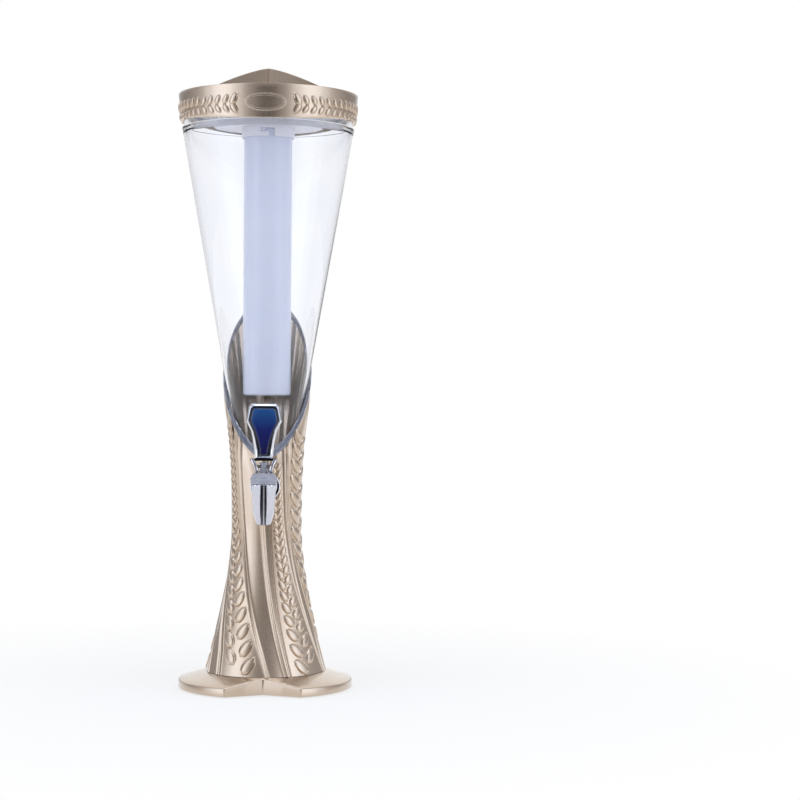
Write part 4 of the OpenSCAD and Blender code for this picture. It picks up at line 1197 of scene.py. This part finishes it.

# %% [markdown]
# ## Spring
# A wound steel spring presses the stem down. Its lower end sits on the stem's plate and its upper end
# stays under the bonnet. It is a round wire carried along a helix, and its ends close to a point.

# %% Spring
SPRING_R, SPRING_WIRE, SPRING_TURNS, SPRING_LOW, SPRING_HIGH = 5.4, 0.6, 5, -0.2, 11.8
share = np.concatenate([[0], np.linspace(0, 1, SPRING_TURNS * 24 + 1), [1]])[:, None]
wire = SPRING_WIRE * np.concatenate([[0], np.ones(len(share) - 2), [0]])[:, None]
turn = np.linspace(0, 2 * np.pi, 8, endpoint=False)
height = SPRING_LOW + (SPRING_HIGH - SPRING_LOW) * share
coil_angle = 2 * np.pi * SPRING_TURNS * share
coil = around(coil_angle, SPRING_R + wire * np.cos(turn), height + wire * np.sin(turn))
spring_ends = [Vector((0, TAP_Y, TAP_Z + z)) * MM for z in (SPRING_LOW, SPRING_HIGH)]
between = ("stem", "tower", *spring_ends)
ringed("tap_coil_spring", at_tap(coil), between, "steel", ["tap_spring"], flip=True)

# %% [markdown]
# ## Handle
# The handle is a shield with rounded corners. Its frame is a stack of its own outline, drawn in step by
# step: over the back, round the edge, over the front and down into the recess. The panel is such a stack
# too, and is slightly domed.

# %% Handle
YOKE_TOP = 28.7
HANDLE_H, HANDLE_T = 52.8, 9.0
INLAY_T = 1.0
# half width and height above the foot, of the frame and of the panel, in mm
FRAME = np.array(
    [[8.6, 0], [9.1, 8.4], [10.3, 17.4], [12.2, 26.4], [17.2, 36.4], [14.6, 50.2], [12.0, HANDLE_H]]
)
PANEL = np.array(
    [[3.2, 3.2], [3.6, 8.6], [5.2, 17.4], [7.9, 26.4], [12.6, 36.4], [10.4, 46.6], [9.3, 47.8]]
)


def shield(share, shrink=0.0, soft=1.6):
    """An outline at a share of the way from the frame's to the panel's, then shrunk, as (x, z)."""
    right = FRAME + share * (PANEL - FRAME)
    right = right - shrink * np.stack([np.ones(len(right)), np.sign(right[:, 1] - HANDLE_H / 2)], 1)
    return rounded(np.concatenate([right, right[::-1] * [-1, 1]]), soft, 4)


def stacked(rows):
    """Grid of outlines, each at its own depth y; width 0 folds an outline onto the middle line."""
    return np.stack([np.stack([o[:, 0] * w, np.full(len(o), y), o[:, 1]], -1) for o, y, w in rows]) * MM


back, front = HANDLE_T / 2, -HANDLE_T / 2
# each row: its outline, its depth, and its width, where 0 closes the stack
frame_rows = [
    (shield(0, 1.6), back, 0.0),
    (shield(0, 1.6), back, 1.0),
    (shield(0, 0.5), back - 0.5, 1.0),
    (shield(0), back - 1.6, 1.0),
    (shield(0), front + 2.4, 1.0),
    (shield(0, 0.3), front + 1.7, 1.0),
    (shield(0.28), front + 0.45, 1.0),
    (shield(0.4), front + 0.05, 1.0),
    (shield(0.46), front + 0.05, 1.0),
    (shield(0.56), front + 0.6, 1.0),
    (shield(0.86), front + 0.62, 1.0),
    (shield(0.9), front + INLAY_T, 1.0),
    (shield(0.9), front + INLAY_T, 0.0),
]
ringed("handle_frame", at_tap(stacked(frame_rows), YOKE_TOP), "lever", "chrome", ["tap_handle"], sharp=28)

panel_rows = [
    (shield(1), front + INLAY_T, 0.0),
    (shield(1), front + INLAY_T, 1.0),
    (shield(1), front + 0.45, 1.0),
    (shield(1, 0.2), front + 0.25, 1.0),
    (shield(1, 0.7), front + 0.15, 1.0),
    (shield(1, 0.7), front + 0.1, 0.5),
    (shield(1, 0.7), front + 0.1, 0.0),
]
panel = at_tap(stacked(panel_rows), YOKE_TOP)
ringed("handle_panel", panel, "lever", "blue_panel", ["handle_inlay"], sharp=40)

# %% [markdown]
# ## Yoke
# Two prongs hold the pivot pin, and a bar above them carries the handle. As the handle tips, the prongs'
# heels push against the bonnet and lift the stem. The lift grows evenly with the swing, and from that
# comes the heel's curve. A prong is a stack of its side view, from its inner to its outer side, with
# softened edges.

# %% Yoke
PIN_Z, YOKE_BAR_Z = 21.0, 26.6
PRONG_IN, PRONG_LOW_OUT, PRONG_TOP_OUT, PRONG_T, HEEL_R = 5.3, 9.35, 13.0, 8.8, 6.0
PRONG_WIDE, PRONG_BOW, FLARE_LOW = 3.2, 2.2, 1.0  # thickness, power of the outward curve, its start
SOFT_Z, SOFT_LEAST = 0.8, 0.82  # height that the side view shrinks to, and its least size, for soft edges
VALVE_LIFT, SWING = 2.5, math.radians(50)
CAM_RATE = VALVE_LIFT / SWING


def heel(swing):
    """Front of the prong's heel from the pin, as (y, z): its height grows evenly with the swing."""
    h = HEEL_R + CAM_RATE * swing
    y = -h * np.sin(swing) - CAM_RATE * np.cos(swing)
    return np.stack([y, -h * np.cos(swing) + CAM_RATE * np.sin(swing)], -1)


def resampled(outline, step):
    """A closed outline with points at most a step apart along it."""
    closed = np.concatenate([outline, outline[:1]])
    run = np.concatenate([[0], np.cumsum(np.linalg.norm(np.diff(closed, axis=0), axis=1))])
    at_run = np.unique(np.concatenate([run[:-1], np.arange(0, run[-1], step)]))
    return np.stack([np.interp(at_run, run, closed[:, k]) for k in (0, 1)], -1)


prong_top = YOKE_TOP - PIN_Z
heel_curve = heel(np.linspace(0, SWING, 10))
prong_head = [[-PRONG_T / 2, prong_top], [PRONG_T / 2, prong_top]]
y, z = resampled(np.concatenate([[[PRONG_T / 2, -HEEL_R]], heel_curve, prong_head]), 0.8).T
up = (z + HEEL_R + FLARE_LOW) / (prong_top + HEEL_R + FLARE_LOW)
flare = PRONG_LOW_OUT - FLARE_LOW + (PRONG_TOP_OUT - PRONG_LOW_OUT + FLARE_LOW) * up**PRONG_BOW
inner_x = np.maximum(PRONG_IN, flare - PRONG_WIDE)
# share of the way from the inner to the outer side, and how far the ring is drawn in
PRONG_RINGS = ((0, 0), (0, 0.82), (0.06, 0.95), (0.2, 1), (0.8, 1), (0.94, 0.95), (1, 0.82), (1, 0))
for side, name in ((-1, "left"), (1, "right")):
    rings = []
    for share, keep in PRONG_RINGS:
        x = side * (inner_x + share * (flare - inner_x))
        rings.append(np.stack([x, y * keep, SOFT_Z + (z - SOFT_Z) * max(keep, SOFT_LEAST) + PIN_Z], -1))
    prong = at_tap(np.stack(rings) * MM)
    ringed(f"yoke_prong_{name}", prong, "lever", "chrome", ["tap_yoke"], flip=side < 0)

BAR_HALF_T = 4.4
bar_outline = [
    [-BAR_HALF_T, YOKE_BAR_Z],
    [BAR_HALF_T, YOKE_BAR_Z],
    [BAR_HALF_T, YOKE_TOP],
    [-BAR_HALF_T, YOKE_TOP],
]
# where each ring of the bar stands along it, and how far it is drawn in
BAR_RINGS = np.array([[12.4, 0], [12.4, 0.8], [12.9, 0.95], [13.0, 1]])
x, keep = np.concatenate([BAR_RINGS * [-1, 1], BAR_RINGS[::-1]]).T[..., None]
y, z = rounded(bar_outline, 0.8).T
middle = (YOKE_BAR_Z + YOKE_TOP) / 2
bar = np.stack([x + 0 * y, y * keep, middle + (z - middle) * keep], -1) * MM
ringed("yoke_bar", at_tap(bar), "lever", "chrome", ["tap_yoke"], flip=True, sharp=40)

# %% [markdown]
# ## Base plate
# The base is a round moulding with a V notch in front for a glass. Its edge is the smaller of the disc's
# radius and of the distance to the notch's wall, and everything else is a closed outline that follows
# that edge: bottom, upright edge, rounding, sloping top and the hollow below. A fine seam marks each
# corner of the notch.

# %% Base
BASE_R, BASE_Z, BASE_EDGE_Z, DECK_Z, BASE_WALL = 86.5, 1.2, 9.4, 17.4, 3.0
NOTCH_REACH, NOTCH_W = 62.5, 74.0
NOTCH_HALF = math.atan(NOTCH_W / 2 / (math.sqrt(BASE_R**2 - (NOTCH_W / 2) ** 2) - NOTCH_REACH))
CORNER = math.asin(NOTCH_W / 2 / BASE_R)
HOLE_R = 39.4  # of the hole under the column


def notch_r(azimuth, reach):
    """Distance from the axis to the notch's wall, along an azimuth; very large where there is none."""
    a = np.abs((azimuth + np.pi) % (2 * np.pi) - np.pi)
    least, none = 1e-3, 1e3
    under = np.cos(a) * math.tan(NOTCH_HALF) - np.sin(a)
    wall_r = reach * math.tan(NOTCH_HALF) / np.maximum(under, least)
    return np.where((a < 1.2) & (under > least), wall_r, none)


def deck_z(r):
    """Height of the top: level under the column, then a straight slope to the edge."""
    return DECK_Z - (DECK_Z - BASE_EDGE_Z) * np.clip((r - FOOT_R) / (BASE_R - FOOT_R), 0, 1)


SEAM_W, SEAM_DEEP = 0.004, 0.5  # half width in radians and depth in mm of the seams at the corners
TOP_ROUND, LOW_ROUND = 1.1, 0.6  # roundings of the edge, in mm
near = np.linspace(-3, 3, 13) * SEAM_W
full_turn, across_notch = np.linspace(-np.pi, np.pi, 181)[1:], np.linspace(-CORNER, CORNER, 41)
azimuth = np.unique(np.concatenate([full_turn, across_notch, near + CORNER, near - CORNER]))
edge = np.minimum(BASE_R, notch_r(azimuth, NOTCH_REACH))
edge = edge - SEAM_DEEP * np.exp(-(((np.abs(azimuth) - CORNER) / SEAM_W) ** 2))
hollow = np.minimum(BASE_R - BASE_WALL, notch_r(azimuth, NOTCH_REACH - BASE_WALL / math.sin(NOTCH_HALF)))
flat = np.ones_like(azimuth)
slope_rows = [(edge - TOP_ROUND) * (1 - s) + (FOOT_R - 1) * s for s in (0.25, 0.5, 0.75, 1.0)]
rows = [
    (hollow, BASE_Z * flat),
    (edge - LOW_ROUND, BASE_Z * flat),
    (edge, (BASE_Z + LOW_ROUND) * flat),
    (edge, deck_z(edge) - TOP_ROUND),
    (edge - 0.3 * TOP_ROUND, deck_z(edge) - 0.28 * TOP_ROUND),
    (edge - TOP_ROUND, deck_z(edge - TOP_ROUND)),
    *[(r, deck_z(r)) for r in slope_rows],
    (HOLE_R * flat, DECK_Z * flat),
    (HOLE_R * flat, (DECK_Z - BASE_WALL) * flat),
    ((FOOT_R - 4) * flat, (DECK_Z - BASE_WALL) * flat),
    (hollow, deck_z(hollow) - BASE_WALL),
]
base = np.stack([around(azimuth, r, z) for r, z in rows])
ringed("base_moulding", base, "tower", "champagne", ["base_plate"], closed=True, sharp=38)

# %% [markdown]
# ## Studio: the room
# The photograph is lit softly from both sides in front of a white sweep. The camera and what shines
# through the cone see plain white. Reflections see a room: it is pale at the sides and behind, white high
# up behind, and darker towards the camera, so that the satin lacquer keeps darker middles. A narrow dark
# table zone low in front gives the chrome its dark lines.

# %% World
# how far round from the camera's side (0) to behind the object (1), and the shade there
ROOM = (
    (0.0, "#868488"),
    (0.015, "#8C8A8E"),
    (0.045, "#A9A7AB"),
    (0.10, "#DADADF"),
    (0.25, "#E6E8F0"),
    (0.53, "#B9B9C0"),
    (0.74, "#848489"),
    (0.92, "#848489"),
    (0.97, "#B0B0B6"),
    (1.0, "#FFFFFF"),
)
WHITE, TABLE_DARK, AMBIENT = linear("#FFFFFF"), linear("#0C0C10"), linear("#F4F4F8")
world = bpy.data.worlds.new("studio")
bpy.context.scene.world = world
world.use_nodes = True
tree = world.node_tree
tree.nodes.clear()
rays = add(tree, "ShaderNodeLightPath")
facing = add(tree, "ShaderNodeTexCoord").outputs["Generated"]
level_facing = add(tree, "ShaderNodeVectorMath", {0: facing, 1: (1, 1, 0)}, operation="MULTIPLY")
compass = add(tree, "ShaderNodeVectorMath", {0: level_facing.outputs[0]}, operation="NORMALIZE")
split = add(tree, "ShaderNodeSeparateXYZ", {"Vector": compass.outputs[0]})
toward = add(tree, "ShaderNodeMapRange", {"Value": split.outputs["Y"], "From Min": -1.0, "From Max": 1.0})
back_share = toward.outputs["Result"]
room = add(tree, "ShaderNodeValToRGB", {"Fac": back_share}, ROOM)
up_share = add(tree, "ShaderNodeSeparateXYZ", {"Vector": facing}).outputs["Z"]
high = add(tree, "ShaderNodeMapRange", {"Value": up_share, "From Min": 0.05, "From Max": 0.3})
far = add(tree, "ShaderNodeMapRange", {"Value": back_share, "From Min": 0.6, "From Max": 0.9})
wall_light = add(tree, "ShaderNodeMath", {0: high.outputs[0], 1: far.outputs[0]}, operation="MULTIPLY")
whitened = add(
    tree,
    "ShaderNodeMix",
    {"Factor": wall_light.outputs[0], 6: room.outputs["Color"], 7: WHITE},
    data_type="RGBA",
)
low = add(tree, "ShaderNodeMapRange", {"Value": up_share, "From Min": 0.03, "From Max": -0.03})
near = add(tree, "ShaderNodeMapRange", {"Value": back_share, "From Min": 0.016, "From Max": 0.009})
table = add(tree, "ShaderNodeMath", {0: low.outputs[0], 1: near.outputs[0]}, operation="MULTIPLY")
shaded = add(
    tree,
    "ShaderNodeMix",
    {"Factor": table.outputs[0], 6: whitened.outputs[2], 7: TABLE_DARK},
    data_type="RGBA",
)
mirrored = add(tree, "ShaderNodeBackground", {"Color": shaded.outputs[2], "Strength": 1.0})
ambient = add(tree, "ShaderNodeBackground", {"Color": AMBIENT, "Strength": 0.75})
plain = add(tree, "ShaderNodeBackground", {"Color": WHITE, "Strength": 1.0})
direct, glossy, through = (rays.outputs[f"Is {kind} Ray"] for kind in ("Camera", "Glossy", "Transmission"))
seen = add(tree, "ShaderNodeMath", {0: direct, 1: through}, operation="MAXIMUM")
shine = add(tree, "ShaderNodeMixShader", {0: glossy, 1: ambient.outputs[0], 2: mirrored.outputs[0]})
sky = add(tree, "ShaderNodeMixShader", {0: seen.outputs[0], 1: shine.outputs[0], 2: plain.outputs[0]})
add(tree, "ShaderNodeOutputWorld", {"Surface": sky.outputs[0]})
print("shades of the room:", len(ROOM))

# %% [markdown]
# ## Studio: the lamps
# A wide soft box on each side lights the whole object, with a narrower, stronger one in it that draws the
# bright edge of each highlight. A small one above lifts the lid. The light is a little blue, as daylight
# lamps are.

# %% Lamps
LAMP_COLOUR = linear("#DCECFF")[:3]
SIDE_AIM, TOP_AIM = (0, 0, 0.35), (0, 0, 0.3)


def soft_box(name, place_at, aim, width, height, watts):
    """A rectangular soft box that faces a point."""
    data = bpy.data.lights.new(name, "AREA")
    data.shape = "RECTANGLE"
    data.size, data.size_y = width, height
    data.energy = watts
    data.color = LAMP_COLOUR
    lamp = bpy.data.objects.new(name, data)
    lamp.location = place_at
    lamp.rotation_euler = (Vector(aim) - Vector(place_at)).to_track_quat("-Z", "Y").to_euler()
    bpy.context.scene.collection.objects.link(lamp)
    print(f"{name}: {watts} W")


for side, name in ((-1, "left"), (1, "right")):
    soft_box(f"{name}_soft_box", (1.45 * side, -0.92, 0.6), SIDE_AIM, 1.8, 1.9, 6)
    soft_box(f"{name}_hot_spot", (1.44 * side, -0.91, 0.6), SIDE_AIM, 0.8, 1.9, 3.3)
soft_box("top_soft_box", (0, -0.4, 1.8), TOP_AIM, 1.2, 0.8, 8)

# %% [markdown]
# ## Studio: the floor
# The floor is white paper. The camera, reflections and the cone see it as plain white, apart from the
# object's shadow, which fades out with the distance from the foot.

# %% Floor
FLOOR_HALF, FLOOR_FRONT = 6.0, -0.8
PAPER = 2.0  # in mm: the paper's fibres
SHADOW_NEAR, SHADOW_FAR = 0.12, 0.6  # in metres: where the shadow starts to fade, and where it is gone
left_right, front_back = (-FLOOR_HALF, FLOOR_HALF), (FLOOR_FRONT, FLOOR_HALF)
corners = [(x, y, 0) for x, y in zip((*left_right, *left_right[::-1]), np.repeat(front_back, 2))]
floor_mesh = bpy.data.meshes.new("floor")
floor_mesh.from_pydata(corners, [], [(0, 1, 2, 3)])
floor = bpy.data.objects.new("floor", floor_mesh)
bpy.context.scene.collection.objects.link(floor)
sweep = bpy.data.materials.new("white_paper_sweep")
sweep.use_nodes = True
tree = sweep.node_tree
tree.nodes.clear()
rays = add(tree, "ShaderNodeLightPath")
at = add(tree, "ShaderNodeTexCoord").outputs["Object"]
grain = add(tree, "ShaderNodeTexNoise", {"Vector": at, "Scale": 1 / (PAPER * MM), "Detail": 2.0})
tint = add(tree, "ShaderNodeValToRGB", {"Fac": grain.outputs["Fac"]}, [(0, "#EDEDF0"), (1, "#F4F4F6")])
paper = add(tree, "ShaderNodeBsdfDiffuse", {"Color": tint.outputs["Color"]})
white = add(tree, "ShaderNodeEmission", {"Color": WHITE, "Strength": 1.0})
direct, glossy, through = (rays.outputs[f"Is {kind} Ray"] for kind in ("Camera", "Glossy", "Transmission"))
outside = add(tree, "ShaderNodeMath", {0: direct, 1: glossy}, operation="MAXIMUM")
seen = add(tree, "ShaderNodeMath", {0: outside.outputs[0], 1: through}, operation="MAXIMUM")
from_foot = add(tree, "ShaderNodeVectorMath", {0: at}, operation="LENGTH")
fade = add(
    tree,
    "ShaderNodeMapRange",
    {
        "Value": from_foot.outputs["Value"],
        "From Min": SHADOW_NEAR,
        "From Max": SHADOW_FAR,
        "To Min": 0.7,
        "To Max": 1.0,
    },
)
amount = add(tree, "ShaderNodeMath", {0: seen.outputs[0], 1: fade.outputs["Result"]}, operation="MULTIPLY")
mix = add(tree, "ShaderNodeMixShader", {0: amount.outputs[0], 1: paper.outputs[0], 2: white.outputs[0]})
add(tree, "ShaderNodeOutputMaterial", {"Surface": mix.outputs[0]})
floor_mesh.materials.append(sweep)
floor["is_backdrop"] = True

# %% [markdown]
# ## Last settings
# The view transform is set to Standard, and the box round the dressed object is printed.

# %% Finish
bpy.context.scene.view_settings.view_transform = "Standard"
low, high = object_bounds()
print("dressed box", [round(v, 4) for v in (*low, *high)])
